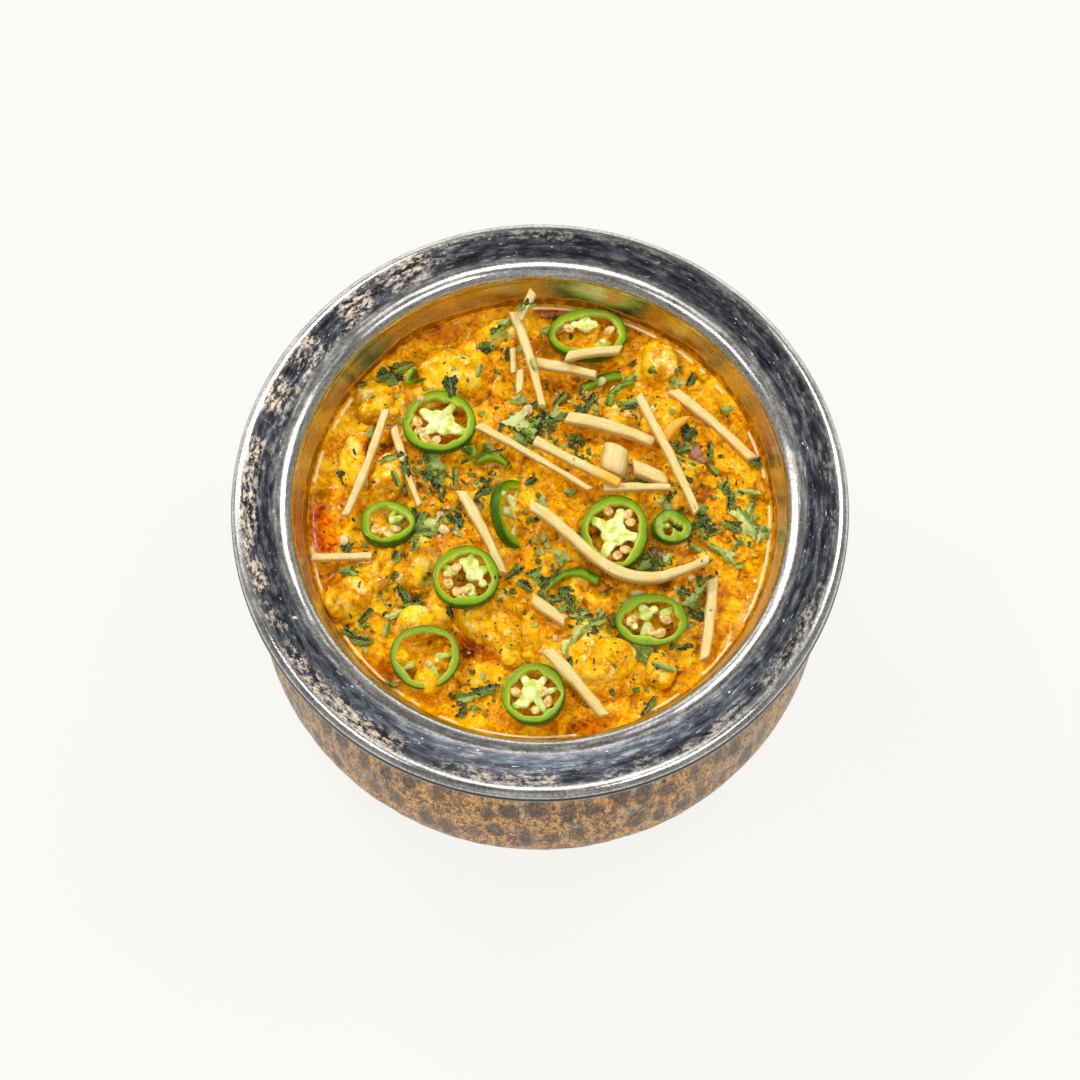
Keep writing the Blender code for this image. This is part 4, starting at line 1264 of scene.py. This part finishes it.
def gravyFinish():
    look = newFinish("creamyGravy")
    here, wet = places(look), number(look, "wet")
    colour = sauceColour(here, number(look, "rise"), number(look, "oil"), number(look, "red"))[0]
    # painted glints: thin pale lines along the wall and beside some of what lies in the sauce
    colour = blend(ramp(number(look, "brim"), 0.25, 0.7, 0.0, 0.85), colour, (255, 238, 190))
    bumps = wetRelief(here, ramp(wet, 0.1, 0.7, 1.0, 0.1), 0.55)
    return finished(look, colour, ramp(wet, 0.0, 0.8, 0.11, 0.05), bumps, 0.12,
                    (0.04, (1.0, 0.45, 0.1), 0.0012))


def gravyBody(x, y, height):
    # corners and faces of the surface, and of the body below it down to the liner's floor
    count = gravy["grid"]
    side = count + 1
    faces = [(a, a + side, a + side + 1, a + 1)
             for i in range(count) for a in range(i * side, i * side + count)]
    rim = list(range(count)) + [i * side + count for i in range(count)]
    rim += [count * side + j for j in range(count, 0, -1)] + [i * side for i in range(count, 0, -1)]
    vertices = [np.stack([x, y, height], axis=1)]
    above, total = rim, side * side
    turns = np.arctan2(y[rim], x[rim])
    for radius, level in [(wallRadius(0.074), 0.074), (wallRadius(0.067), 0.067)] + linerSide(0.0, 0, -90, 5):
        radius -= gravy["gapToLiner"]
        vertices.append(ringOf(turns, radius, radius, level + 0.0003))
        here = list(range(total, total + len(rim)))
        for j in range(len(rim)):
            k = (j + 1) % len(rim)
            faces.append((above[j], above[k], here[k], here[j]))
        above = here
        total += len(rim)
    vertices.append(np.array([[0.0, 0.0, liner["floor"] + 0.0003]]))
    faces += [(above[j], above[(j + 1) % len(rim)], total) for j in range(len(rim))]
    return np.concatenate(vertices), faces


def makeGravy():
    edgeRadius = liner["gravyRadius"] + gravy["gapToLiner"]
    x, y = discGrid(gravy["grid"], edgeRadius)
    points = flat3(x, y)
    reach = np.hypot(x, y)
    near = edgeRadius - reach
    oil, red = oilShare(points)

    def patches(sizeMm, seed, low, high):
        return smooth(waver(points, sizeMm, seed), low, high)

    # what touches the sauce: it climbs there, sinks on the far side with painted shade in the dip, and clings
    # to garnish
    touching = meetingPlaces(chickenPieces, 0.5)
    meatTouch, meatNear = softened(touching, 1.6), softened(touching, 6.0)
    lightHere = surface.at(x, y, softened(meetingPlaces(garnish, 0.9), 1.3))
    meatHere, meatAbove = surface.at(x, y, meatTouch), surface.at(x, y + 0.0016, meatTouch)
    climb = gravy["climbMm"] * smooth(surface.at(x, y, meatNear), 0.05, 0.85)
    climb = climb * (0.75 + 0.25 * waver(points, 4.0, 31))
    gap = smooth(meatAbove, 0.25, 0.75) * (1 - smooth(meatHere, 0.1, 0.6)) * patches(7.0, 33, -0.5, 0.2)
    cling = 0.55 * smooth(lightHere, 0.02, 0.55)
    heap = np.zeros(len(x))
    for cx, cy, radius, tall in gravy["heaps"]:
        far = np.hypot(x - cx * mm, y - cy * mm) / (radius * mm) + 0.22 * waver(points, 2.6, 34)
        heap = np.maximum(heap, tall * (1 - smooth(far, 0.35, 1.1)))
    # curds, soft lumps and beads, calmer in the oil and along the wall
    curd = waver(points, 3.0, 21) + 0.6 * waver(points, 1.6, 22)
    patch = smooth(waver(points, 13.0, 24) + 0.25 * (1 - reach / edgeRadius), -0.25, 0.4)
    bent = points + 0.0011 * np.stack([waver(points, 3.0, 25), waver(points, 3.0, 125), 0 * x], axis=1)
    lumps = rounds(bent, 4.6, 26) * patch
    beads = rounds(bent, 2.1, 29) * (0.4 + 0.6 * patches(6.0, 30, -0.3, 0.4))
    fade = smooth(near, 0.0012, 0.0048)
    bumps = gravy["curdMm"] * curd + gravy["lumpMm"] * (lumps - 0.5 * patch) + gravy["beadMm"] * (beads - 0.4)
    bumps = bumps * (1 - 0.85 * oil) * fade
    wall = gravy["wallClimbMm"] * np.exp(-near / (gravy["wallReachMm"] * mm))
    raised = bumps + np.maximum(climb + cling, heap) - gravy["oilDropMm"] * oil * fade
    raised = raised - gravy["gapMm"] * gap + wall
    # rise: raised sauce, painted paler in the finish, partly as light on the tops
    rise = np.clip(0.30 + 0.85 * bumps + 0.35 * climb + 0.2 * heap, 0, 1) * (1 - oil)
    # oil also gathers in cracks and along the wall; behind the meat the deep oil colour is painted shade in
    # the dip
    crack = smooth(-bumps, 0.12, 0.55) * patches(5.0, 27, -0.3, 0.5)
    wallOil = 0.35 * np.exp(-near / 0.0014) * patches(12.0, 28, -0.2, 0.4)
    oil = np.clip(oil + 0.6 * crack * fade + 0.75 * gap + wallOil, 0, 1)
    # painted glints along the wall, and along the edges of garnish and meat where they meet the sauce
    brim = smooth(waver(points, 9.0, 35) + 0.4 * waver(points, 2.5, 36), -0.1, 0.15)
    brim *= np.exp(-((near - 0.0010) / 0.00038) ** 2)
    lightEdge = np.exp(-((lightHere - 0.16) / 0.09) ** 2) * patches(4.5, 37, 0.05, 0.2)
    meatEdge = np.exp(-((meatHere - 0.14) / 0.07) ** 2) * patches(4.0, 38, 0.15, 0.3)
    brim = np.maximum(brim, 0.75 * np.maximum(lightEdge, meatEdge) * fade)
    wet = np.clip(np.maximum(oil, np.exp(-near / 0.0022)), 0, 1)
    vertices, faces = gravyBody(x, y, restLevel(x, y) + raised * mm)
    piece = meshPiece("gravy_surface", vertices, faces, gravyFinish(), ["gravy"])
    hidden = np.zeros(len(vertices) - len(x))
    for name, values in (("oil", oil), ("rise", rise), ("red", red), ("wet", wet), ("brim", brim)):
        paint(piece, **{name: np.concatenate([values, hidden])})
    return piece


gravyPiece = makeGravy()
print("gravy poured:", len(gravyPiece.data.polygons), "faces")

film = {"around": 420, "rows": 9, "topMm": 84.4, "waverMm": 1.5, "footMm": 79.0, "thickMm": 0.42}


def filmFinish():
    look = newFinish("sauceOnTheWall")
    here, share = places(look), number(look, "share")
    colour = sauceColour(here, 0.15, ramp(share, 0.2, 0.9, 0.1, 0.75))[0]
    streak = grain(stretched(here, (1.0, 1.0, 0.35)), 2.4, 3, 0.55, 0.5)
    colour = blend(ramp(streak, 0.42, 0.56, 0.0, 0.75), colour, (132, 82, 6))
    colour = blend(ramp(share, 0.90, 1.0, 0.0, 0.7), colour, (204, 146, 30))
    return finished(look, colour, 0.14, wetRelief(here, 1.0, 0.3), 0.3)


def makeFilm():
    # thin coat left on the wall above the gravy, higher in some places than in others
    around, rows = film["around"], film["rows"]
    turns = turnsOf(around)
    circle = ringOf(turns, liner["gravyRadius"], liner["gravyRadius"], 0.0)
    edge = 0.7 * waver(circle, 16.0, 61) + 0.4 * waver(circle, 4.0, 62) + 0.2 * waver(circle, 1.5, 63)
    top = film["topMm"] + film["waverMm"] * edge
    front, back, shares = [], [], []
    for i in range(rows):
        share = i / (rows - 1)
        height = (film["footMm"] + (top - film["footMm"]) * share) * mm
        uneven = 0.55 + 0.45 * waver(circle + [0, 0, 0.002 * i], 3.0, 64)
        thick = film["thickMm"] * mm * (1 - share ** 3) ** 0.5 * uneven + 0.00003
        for side, inset in ((front, thick), (back, -0.00025)):
            radius = wallRadius(height) - inset
            side.append(ringOf(turns, radius, radius, height))
        shares.append(np.full(around, share))
    rowsOfPoints = front + back[::-1]
    faces = bands(len(rowsOfPoints), around, closed=True)
    piece = meshPiece("sauce_on_wall", np.concatenate(rowsOfPoints), faces, filmFinish())
    paint(piece, share=np.concatenate(shares + shares[::-1]))


makeFilm()
for laid in [gravyPiece] + chickenPieces + garnish:
    surface.add(laid)
# garnish that nothing covers, and the soft ground that the herbs settle on
bare = np.zeros_like(surface.heights)
for laid in garnish:
    window, found = surface.cast(laid)
    bare[window] = np.maximum(bare[window], found > surface.heights[window] - 0.0003)
ground = softened(np.where(surface.heights > 0, surface.heights, liner["gravyLevel"]), 0.8)
print("height map ready")


# coriander, herb and spice bits

# torn leaves and strips: x, y, length, width in mm, heading in degrees, and kind
leaves = [(-46.5, 45.5, 5.5, 3.6, 20, "leaf"), (-43.5, 44.0, 4.0, 5.0, -60, "leaf"),
          (-41.0, 48.0, 6.0, 3.6, 25, "leaf"), (-53.2, 41.0, 2.6, 2.2, 0, "green"),
          (-50.4, 36.6, 2.6, 1.1, 35, "strip"), (-26.6, 39.0, 6.0, 3.8, -80, "dark"),
          (-18.3, 45.1, 4.6, 1.6, 75, "strip"), (-16.5, 53.4, 4.2, 3.0, -10, "dark"),
          (-12.9, 57.4, 5.0, 2.6, 45, "leaf"), (-9.3, 61.0, 5.5, 2.8, 40, "leaf"),
          (-4.2, 62.8, 5.0, 2.2, 10, "leaf"), (2.7, 60.2, 4.0, 2.8, 20, "leaf"),
          (-50.5, 26.6, 3.6, 3.0, 70, "leaf"), (-44.7, 16.6, 5.0, 2.0, 15, "leaf"),
          (-39.6, 13.8, 5.4, 2.6, -80, "dark"), (-31.9, 15.4, 7.5, 5.2, -75, "leaf"),
          (-31.0, 11.6, 6.5, 4.6, -50, "dark"), (-29.2, 7.1, 4.6, 2.0, -85, "dark"),
          (-42.5, 10.3, 5.4, 1.8, -70, "strip"), (-25.1, 11.9, 6.4, 1.7, 88, "strip"),
          (-16.8, 7.7, 6.5, 2.6, 40, "dark"), (-58.7, 12.2, 4.6, 1.8, -70, "dark"),
          (-35.8, -1.4, 6.0, 4.4, 70, "leaf"), (-32.0, -3.2, 5.0, 4.4, 10, "leaf"),
          (-34.4, -6.8, 5.4, 2.8, 10, "leaf"), (-24.4, -1.4, 4.6, 3.2, -50, "dark"),
          (-6.5, 29.4, 6.0, 5.6, 30, "pale"), (-5.2, 24.0, 5.8, 4.2, -40, "leaf"),
          (-1.6, 27.0, 5.4, 4.0, 60, "dark"), (-11.3, 28.2, 4.2, 1.6, 70, "dark"),
          (-6.0, 36.3, 5.4, 3.0, -20, "leaf"), (-1.8, 34.7, 5.2, 2.2, 20, "dark"),
          (-15.0, 20.8, 4.2, 2.6, -55, "green"), (-12.6, 18.6, 3.6, 2.0, 20, "leaf"),
          (-2.7, 10.6, 3.8, 2.4, 40, "dark"), (26.9, 43.5, 5.6, 1.8, 35, "strip"),
          (22.7, 38.9, 4.2, 2.2, 40, "green"), (27.0, 34.0, 5.6, 3.6, 20, "green"),
          (40.4, 43.0, 4.4, 2.8, -30, "leaf"), (45.5, 43.8, 4.2, 2.4, 60, "green"),
          (41.3, 46.4, 3.0, 1.8, 50, "dark"), (6.3, 37.8, 5.4, 1.8, 55, "strip"),
          (14.6, 35.6, 7.0, 1.9, 60, "strip"), (11.8, 33.2, 3.6, 2.0, 50, "dark"),
          (1.0, 29.6, 6.8, 4.4, 15, "dark"), (4.6, 31.4, 5.8, 3.8, 40, "leaf"),
          (-3.3, 25.3, 4.6, 3.2, -60, "leaf"), (17.0, 31.1, 3.6, 1.6, -60, "dark"),
          (10.4, 24.6, 4.0, 3.0, 0, "green"), (3.3, 21.1, 3.2, 2.0, 30, "green"),
          (6.8, 19.7, 3.4, 1.8, -20, "leaf"), (11.2, 18.0, 3.0, 2.4, 0, "green"),
          (8.8, 6.6, 3.0, 2.6, 0, "green"), (29.5, 9.4, 4.6, 2.2, 10, "dark"),
          (44.3, 26.8, 4.8, 4.0, 50, "dark"), (42.7, 21.0, 4.0, 2.4, 20, "green"),
          (50.7, 20.5, 6.0, 1.9, 85, "green"), (51.7, 14.4, 3.8, 2.0, -50, "dark"),
          (55.7, 34.3, 3.0, 2.6, 0, "leaf"), (64.4, 17.0, 3.2, 3.0, 0, "leaf"),
          (62.2, 7.7, 6.4, 1.5, -12, "strip"), (56.5, 5.0, 7.5, 2.2, 85, "green"),
          (62.3, 2.6, 4.2, 2.0, 70, "green"), (60.6, -1.0, 8.6, 5.0, -55, "pale"),
          (62.6, -3.6, 6.0, 4.4, -50, "pale"), (56.6, -3.0, 6.0, 3.0, -25, "leaf"),
          (65.6, -5.6, 5.0, 2.8, 60, "leaf"), (55.0, 9.6, 2.8, 1.6, 60, "dark"),
          (47.6, 2.4, 4.0, 2.8, -40, "dark"), (48.7, -2.4, 5.0, 3.2, -60, "dark"),
          (51.6, -5.0, 4.2, 1.4, 25, "leaf"), (0.6, 2.2, 5.0, 3.6, -60, "leaf"),
          (-56.5, -17.6, 3.8, 3.4, 10, "dark"), (-54.2, -18.2, 3.4, 2.2, -30, "leaf"),
          (-56.7, -10.0, 3.4, 2.6, 60, "dark"), (-50.4, -31.0, 5.0, 1.8, 55, "strip"),
          (-56.1, -36.0, 4.2, 2.4, -35, "leaf"), (-52.4, -38.6, 5.6, 2.6, -10, "green"),
          (-44.6, -35.2, 4.6, 1.8, 75, "strip"), (-42.4, -31.2, 4.2, 1.8, 20, "leaf"),
          (-42.3, -14.0, 4.2, 3.0, 60, "green"), (-36.2, -11.7, 3.8, 1.8, 70, "leaf"),
          (-40.1, -24.6, 5.2, 2.0, -60, "dark"), (-37.2, -27.4, 5.6, 2.8, 10, "leaf"),
          (-33.7, -21.4, 3.4, 2.2, 20, "leaf"), (-26.0, -31.4, 3.6, 1.8, -70, "dark"),
          (-20.8, -55.6, 6.0, 2.6, 10, "leaf"), (-15.6, -53.6, 6.4, 3.2, 15, "leaf"),
          (-22.3, -60.0, 4.0, 2.2, 60, "dark"), (-43.0, -52.0, 3.6, 1.8, -20, "green"),
          (-7.3, -17.6, 5.4, 2.4, 40, "dark"), (-4.4, -21.8, 5.0, 2.4, -35, "green"),
          (-1.5, -17.9, 4.0, 3.0, 20, "leaf"), (6.1, -13.6, 4.6, 3.8, -40, "leaf"),
          (1.0, -20.6, 3.6, 2.8, 50, "dark"), (7.6, -25.2, 4.6, 2.6, -60, "dark"),
          (3.8, -26.6, 3.6, 2.2, 10, "dark"), (11.3, -31.9, 3.8, 2.4, 10, "leaf"),
          (7.8, -41.0, 5.2, 2.4, 65, "leaf"), (11.2, -37.4, 5.4, 2.8, 55, "leaf"),
          (16.6, -34.2, 6.0, 2.4, 20, "leaf"), (8.6, -46.6, 4.2, 1.8, 80, "green"),
          (28.8, -42.4, 7.0, 4.6, -40, "leaf"), (35.4, -47.8, 7.0, 1.9, -20, "strip"),
          (31.2, -58.8, 7.5, 1.9, 60, "strip"), (41.5, -40.6, 4.0, 1.6, 0, "dark"),
          (44.5, -26.6, 4.8, 3.8, 30, "leaf"), (42.0, -23.8, 3.8, 2.4, -20, "dark"),
          (46.8, -23.6, 3.4, 2.2, 40, "leaf"), (46.1, -30.8, 3.8, 2.4, -30, "dark"),
          (30.3, -17.0, 5.2, 4.2, 20, "dark"), (33.2, -19.4, 4.2, 2.8, 0, "green"),
          (37.4, -13.8, 3.4, 2.0, 70, "leaf"), (47.8, -0.4, 3.6, 2.6, 20, "dark"),
          (45.6, -10.4, 4.2, 2.2, -40, "green"), (51.4, -10.4, 5.4, 2.2, -30, "dark"),
          (54.6, -12.2, 5.6, 2.8, -50, "leaf"), (58.2, -15.4, 2.8, 1.8, 20, "leaf"),
          (28.0, 49.5, 2.4, 1.4, 20, "dark"), (33.5, 44.5, 2.6, 1.4, -20, "dark"),
          (49.0, -15.6, 3.0, 1.6, 40, "dark"), (-2.0, 44.6, 4.2, 1.5, -70, "strip"),
          (-9.6, 51.2, 3.6, 1.6, 80, "green")]
leafMakes = {  # how each kind of leaf is shaded and shaped: tint, teeth, curl in mm
    "leaf": (0.48, 0.42, 0.75), "pale": (0.78, 0.46, 0.60), "dark": (0.14, 0.38, 0.65),
    "green": (0.34, 0.20, 0.50), "strip": (0.38, 0.08, 0.80),
}
# finely chopped herb, then ground spice: x, y, spread in mm, and how many
choppedHeaps = [(-2, 28, 9, 110), (-34, 12, 8, 60), (-28, -1, 7, 80), (-36, -6, 7, 40), (46, -3, 7, 90),
                (46, -20, 8, 60), (42, 20, 7, 60), (32, -17, 6, 60), (46, -30, 6, 36), (2, -22, 8, 70),
                (8, -30, 7, 60), (10, 20, 10, 60), (12, 36, 8, 50), (56, 6, 8, 30), (-42, -26, 8, 36),
                (-20, -55, 8, 34), (-52, -36, 6, 20), (-10, 52, 8, 26), (30, 34, 9, 34), (-44, 44, 7, 24),
                (0, 0, 60, 300), (25, 8, 10, 50), (-16, 8, 10, 50), (38, -42, 9, 24), (30, -56, 8, 18),
                (60, -8, 7, 24), (-54, -14, 8, 20), (40, 6, 8, 60), (0, -8, 9, 40), (33, -14, 7, 60),
                (32, -25, 8, 60), (17, -33, 6, 40), (-14, -25, 6, 24)]
spiceHeaps = [(0, 0, 62, 760), (-28, 58, 10, 40), (-64, -4, 6, 34), (64, 22, 7, 40), (-20, -40, 9, 50),
              (14, -60, 10, 40), (46, -2, 8, 40), (32, -14, 7, 30), (6, 64, 9, 26), (20, -28, 10, 40),
              (-28, 0, 8, 30)]
scatter = {
    "leafScale": 1.04, "tintSpread": 0.16, "fold": 0.32,
    "keepOff": 0.93,  # share of the bits kept off the garnish
    "choppedSizes": (0.6, 0.8, 1.0, 1.3, 1.8, 2.4), "choppedTints": (0.05, 0.14, 0.2, 0.3, 0.4, 0.55, 0.7),
    "spiceSizes": (0.22, 0.28, 0.36, 0.48, 0.65), "spiceTints": (0.05, 0.2, 0.3, 0.5, 0.8),
}


class Heap:
    # collects many small closed bodies into one mesh with a few numbers at every point

    def __init__(self, *fields):
        self.vertices = []
        self.faces = []
        self.total = 0
        self.fields = {name: [] for name in fields}

    def add(self, vertices, faces, **values):
        self.vertices.append(vertices)
        self.faces += [tuple(self.total + i for i in face) for face in faces]
        self.total += len(vertices)
        for name, value in values.items():
            self.fields[name].append(np.broadcast_to(np.asarray(value, dtype=float), (len(vertices),)))

    def finish(self, name, look, slot):
        piece = meshPiece(name, np.concatenate(self.vertices), self.faces, look)
        paint(piece, **{key: np.concatenate(value) for key, value in self.fields.items()})


def leafFaces(rings, around):
    # closed thin body: the upper side in rings from the middle, the same below, joined at the rim
    faces = []
    side = 1 + rings * around
    for base, way in ((0, 1), (side, -1)):
        for j in range(around):
            k = (j + 1) % around
            faces.append((base, base + 1 + j, base + 1 + k)[::way])
            for a in range(base + 1, base + 1 + (rings - 1) * around, around):
                faces.append((a + j, a + around + j, a + around + k, a + k)[::way])
    rim = 1 + (rings - 1) * around
    for j in range(around):
        k = (j + 1) % around
        faces.append((rim + j, side + rim + j, side + rim + k, rim + k))
    return faces


def leafBody(x, y, length, width, heading, teeth, curl, rings, around, dice, lift=0.35, thick=0.14,
             crumple=0.5):
    # a torn scrap that follows what lies under it
    turns = turnsOf(around)
    phase = dice.uniform(0, 6.28)
    jagged = 0.55 * np.sin(3 * turns + phase) + 0.35 * np.sin(5 * turns + 2.1 * phase)
    edge = 1 + teeth * (jagged + 0.30 * np.sin(8 * turns + phase * 3))
    edge += teeth * 0.35 * np.array([dice.uniform(-1, 1) for _ in range(around)])
    shares = np.concatenate([[0.0], np.repeat(np.arange(1, rings + 1) / rings, around)])
    angle = np.concatenate([[0.0], np.tile(turns, rings)])
    rim = np.concatenate([[1.0], np.tile(edge, rings)])
    boxy = 1 / np.maximum(np.abs(np.cos(angle)), np.abs(np.sin(angle))) ** 0.35
    # along and across the leaf, from -1 to 1 and in metres
    along, across = shares * rim * boxy * np.cos(angle), shares * rim * boxy * np.sin(angle)
    u, v = along * 0.5 * length * mm, across * 0.5 * width * mm
    v = v + dice.uniform(-0.12, 0.12) * u * np.abs(along)
    across = v / (0.5 * width * mm)
    placed = spun(flat3(u, v), math.radians(heading)) + np.array([x, y, 0]) * mm
    reach = np.hypot(placed[:, 0], placed[:, 1])
    hold = np.minimum(1.0, (liner["gravyRadius"] - 0.0004) / np.maximum(reach, 1e-6))
    placed = placed * hold[:, None]
    under = surface.at(placed[:, 0], placed[:, 1], ground)
    middle = float(np.median(under))
    under = np.clip(under, middle - 0.0012, middle + 0.0010)
    ripple = 0.5 * across ** 2 * dice.choice((-0.3, 1.0)) + 0.35 * along ** 2 * dice.uniform(-0.2, 1.0)
    wrinkles = waver(placed, 1.8, int(phase * 100)) + 0.4 * waver(placed, 0.9, int(phase * 90))
    ripple = curl * ripple + crumple * wrinkles
    placed[:, 2] = np.maximum(under, under * 0.35 + middle * 0.65) + (lift + ripple) * mm
    half = np.array([0, 0, 0.5 * thick * mm])
    return np.concatenate([placed + half, placed - half]), np.concatenate([across, across])


def leafFinish():
    look = newFinish("corianderLeaf")
    here = places(look)
    vein = cellsOf(here, 1.1, "DISTANCE_TO_EDGE")
    value = plus(number(look, "tint"), ramp(grain(here, 0.6, 3), 0.3, 0.7, -0.12, 0.12))
    colour = shades(value, (0.0, 20, 20, 0), (0.18, 50, 60, 4), (0.36, 92, 110, 14), (0.55, 134, 150, 54),
                    (0.80, 180, 190, 104), (1.0, 212, 218, 144))
    colour = blend(ramp(vein, 0.10, 0.02, 0.0, 0.35), colour, (150, 178, 110))
    rib = ramp(arithmetic("ABSOLUTE", number(look, "across")), 0.12, 0.04, 0.0, 0.35)
    colour = blend(rib, colour, (160, 188, 120))
    return finished(look, colour, 0.38, relief(vein, 0.12, 0.5), 0.14, (0.05, None, 0.0005))


def strewn(heaps, dice, reachMm, gathered=False):
    # places of small bits: most of those that would land on garnish are left out
    for x, y, spread, count in heaps:
        for _ in range(count):
            turn = dice.uniform(0, 2 * math.pi)
            far = spread * math.sqrt(dice.random())
            if gathered and spread <= 30:
                far *= dice.random() ** 0.3
            px, py = x + far * math.cos(turn), y + far * math.sin(turn)
            onGarnish = surface.spot(px, py, bare) > 0.15
            if math.hypot(px, py) > reachMm or (onGarnish and dice.random() < scatter["keepOff"]):
                continue
            yield px, py


def makeLeaves():
    dice = random.Random(11)
    torn, strips, chopped = [Heap("tint", "across") for _ in range(3)]
    spread = scatter["tintSpread"]
    for x, y, length, width, heading, kind in leaves:
        tint, teeth, curl = leafMakes[kind]
        rings, around, heap = (5, 24, strips) if kind == "strip" else (8, 40, torn)
        scale = scatter["leafScale"]
        body, across = leafBody(x, y, length * scale, width * scale, heading, teeth, curl, rings, around,
                                dice)
        # painted light and shade: one half of each leaf lighter or darker than the other, as on a fold, with
        # some uneven tint
        fold = dice.choice((-scatter["fold"], scatter["fold"])) * smooth(across, -0.2, 0.2)
        fold = fold + 0.18 * waver(body, 2.0, 500 + len(heap.faces))
        tint = np.clip(tint + dice.uniform(-spread, spread) + fold, 0, 1)
        heap.add(body, leafFaces(rings, around), tint=tint, across=across)
    finish = leafFinish()
    torn.finish("coriander_torn_leaves", finish, "pepper")
    strips.finish("coriander_strips", finish, "pepper")
    for px, py in strewn(choppedHeaps, dice, 66, gathered=True):
        size = dice.choice(scatter["choppedSizes"])
        body, across = leafBody(px, py, size, size * dice.uniform(0.3, 0.8), dice.uniform(0, 180), 0.22, 0.25,
                                2, 9, dice, lift=0.08, thick=0.12, crumple=0.12)
        chopped.add(body, leafFaces(2, 9), tint=dice.choice(scatter["choppedTints"]), across=across + 0.3)
    chopped.finish("coriander_chopped", finish, "pepper")


def grit(x, y, size, dice, sink=0.3):
    # an uneven little body half sunk in what it lies on
    vertices, faces = turned([(0.0, -1.0), (0.9, -0.3), (0.8, 0.5), (0.0, 1.0)], 5)
    spin = dice.uniform(0, 6.28)
    scale = np.array([dice.uniform(*span) for span in ((0.7, 1.4), (0.6, 1.0), (0.35, 0.7))])
    scale = scale * 0.5 * size * mm
    vertices = spun(vertices * scale * (1 + 0.2 * np.sin(vertices[:, :1] * 9 + spin)), spin)
    return vertices + np.array([x * mm, y * mm, surface.spot(x, y, ground) - sink * scale[2]]), faces


def spiceFinish():
    look = newFinish("groundSpice")
    colour = shades(number(look, "tint"), (0.0, 30, 16, 8), (0.4, 86, 40, 12), (0.7, 128, 62, 16),
                    (1.0, 190, 120, 50))
    colour = blend(ramp(grain(places(look), 0.2, 2), 0.4, 0.7, 0.0, 0.3), colour, (160, 90, 30))
    return finished(look, colour, 0.4)


def makeSpice():
    dice = random.Random(23)
    heap = Heap("tint")
    for px, py in strewn(spiceHeaps, dice, 66.5):
        body, faces = grit(px, py, dice.choice(scatter["spiceSizes"]), dice)
        heap.add(body, faces, tint=dice.choice(scatter["spiceTints"]))
    heap.finish("ground_spice", spiceFinish(), "sauce")


# loose crumbs of seed, ginger and onion: x, y, size in mm, and what they are
crumbs = [(-29.4, 0.5, 2.4, "seed"), (-27.2, 2.4, 1.8, "seed"), (-28.4, -4.4, 3.8, "ginger"),
          (-31.8, 4.2, 1.6, "seed"), (-53.5, 44.5, 3.2, "ginger"), (-35.4, 35.0, 2.8, "seed"),
          (46.4, 20.0, 5.0, "onion"), (47.8, 17.6, 3.2, "onion"), (33.4, -11.2, 2.6, "onion"),
          (35.4, -12.6, 2.2, "onion"), (33.7, -26.2, 3.4, "onion"), (31.0, -25.8, 3.0, "pith"),
          (28.6, -24.6, 3.2, "pith"), (18.4, 42.0, 3.4, "pith"), (38.0, 2.4, 3.0, "pith"),
          (35.6, 4.4, 2.2, "pith"), (-3.6, 33.4, 3.8, "ginger"), (6.8, -32.6, 2.2, "seed"),
          (4.4, -38.0, 2.4, "seed"), (-24.8, -5.4, 1.8, "seed"), (-29.6, -6.6, 1.6, "seed"),
          (39.4, -26.4, 2.0, "pith"), (44.0, -20.4, 2.0, "seed"), (-57.5, -7.4, 4.0, "ginger"),
          (13.6, 38.6, 2.0, "seed"), (-24.6, -22.6, 2.0, "seed"), (22.8, -12.4, 1.8, "seed"),
          (-10.8, 4.4, 2.4, "pith")]
crumbTints = {"seed": (222, 184, 126), "ginger": (240, 214, 150), "onion": (168, 112, 84),
              "pith": (206, 212, 140)}


def crumbFinish(kind):
    look = newFinish(kind + "Crumb")
    wide = grain(places(look), 0.9, 4)
    pale = tone(*crumbTints[kind])
    dark = tuple(0.55 * channel for channel in pale[:3]) + (1,)
    return finished(look, blend(ramp(wide, 0.4, 0.65, 0.0, 0.6), pale, dark), 0.38, relief(wide, 0.2, 0.5))


def makeCrumbs():
    for kind in crumbTints:
        heap = Heap("tint")
        for i, (x, y, size, made) in enumerate(crumbs):
            if made != kind:
                continue
            vertices, faces = turned(pipProfile(1.2, 9), 18)
            shape = vertices * np.array([0.5 * size, 0.36 * size, 0.24 * size]) * mm
            place = shape + i * 0.01
            uneven = 0.22 * waver(place, 1.4, 600 + i) + 0.1 * waver(place, 0.6, 700 + i)
            shape = spun(shape * (1 + uneven)[:, None], 1.3 * i)
            heap.add(shape + np.array([x * mm, y * mm, surface.spot(x, y, ground) + 0.0001]), faces, tint=0.5)
        heap.finish(kind + "_crumbs", crumbFinish(kind), "pepper" if kind == "pith" else "root")


makeLeaves()
makeSpice()
makeCrumbs()
print("coriander, spice and crumbs scattered")
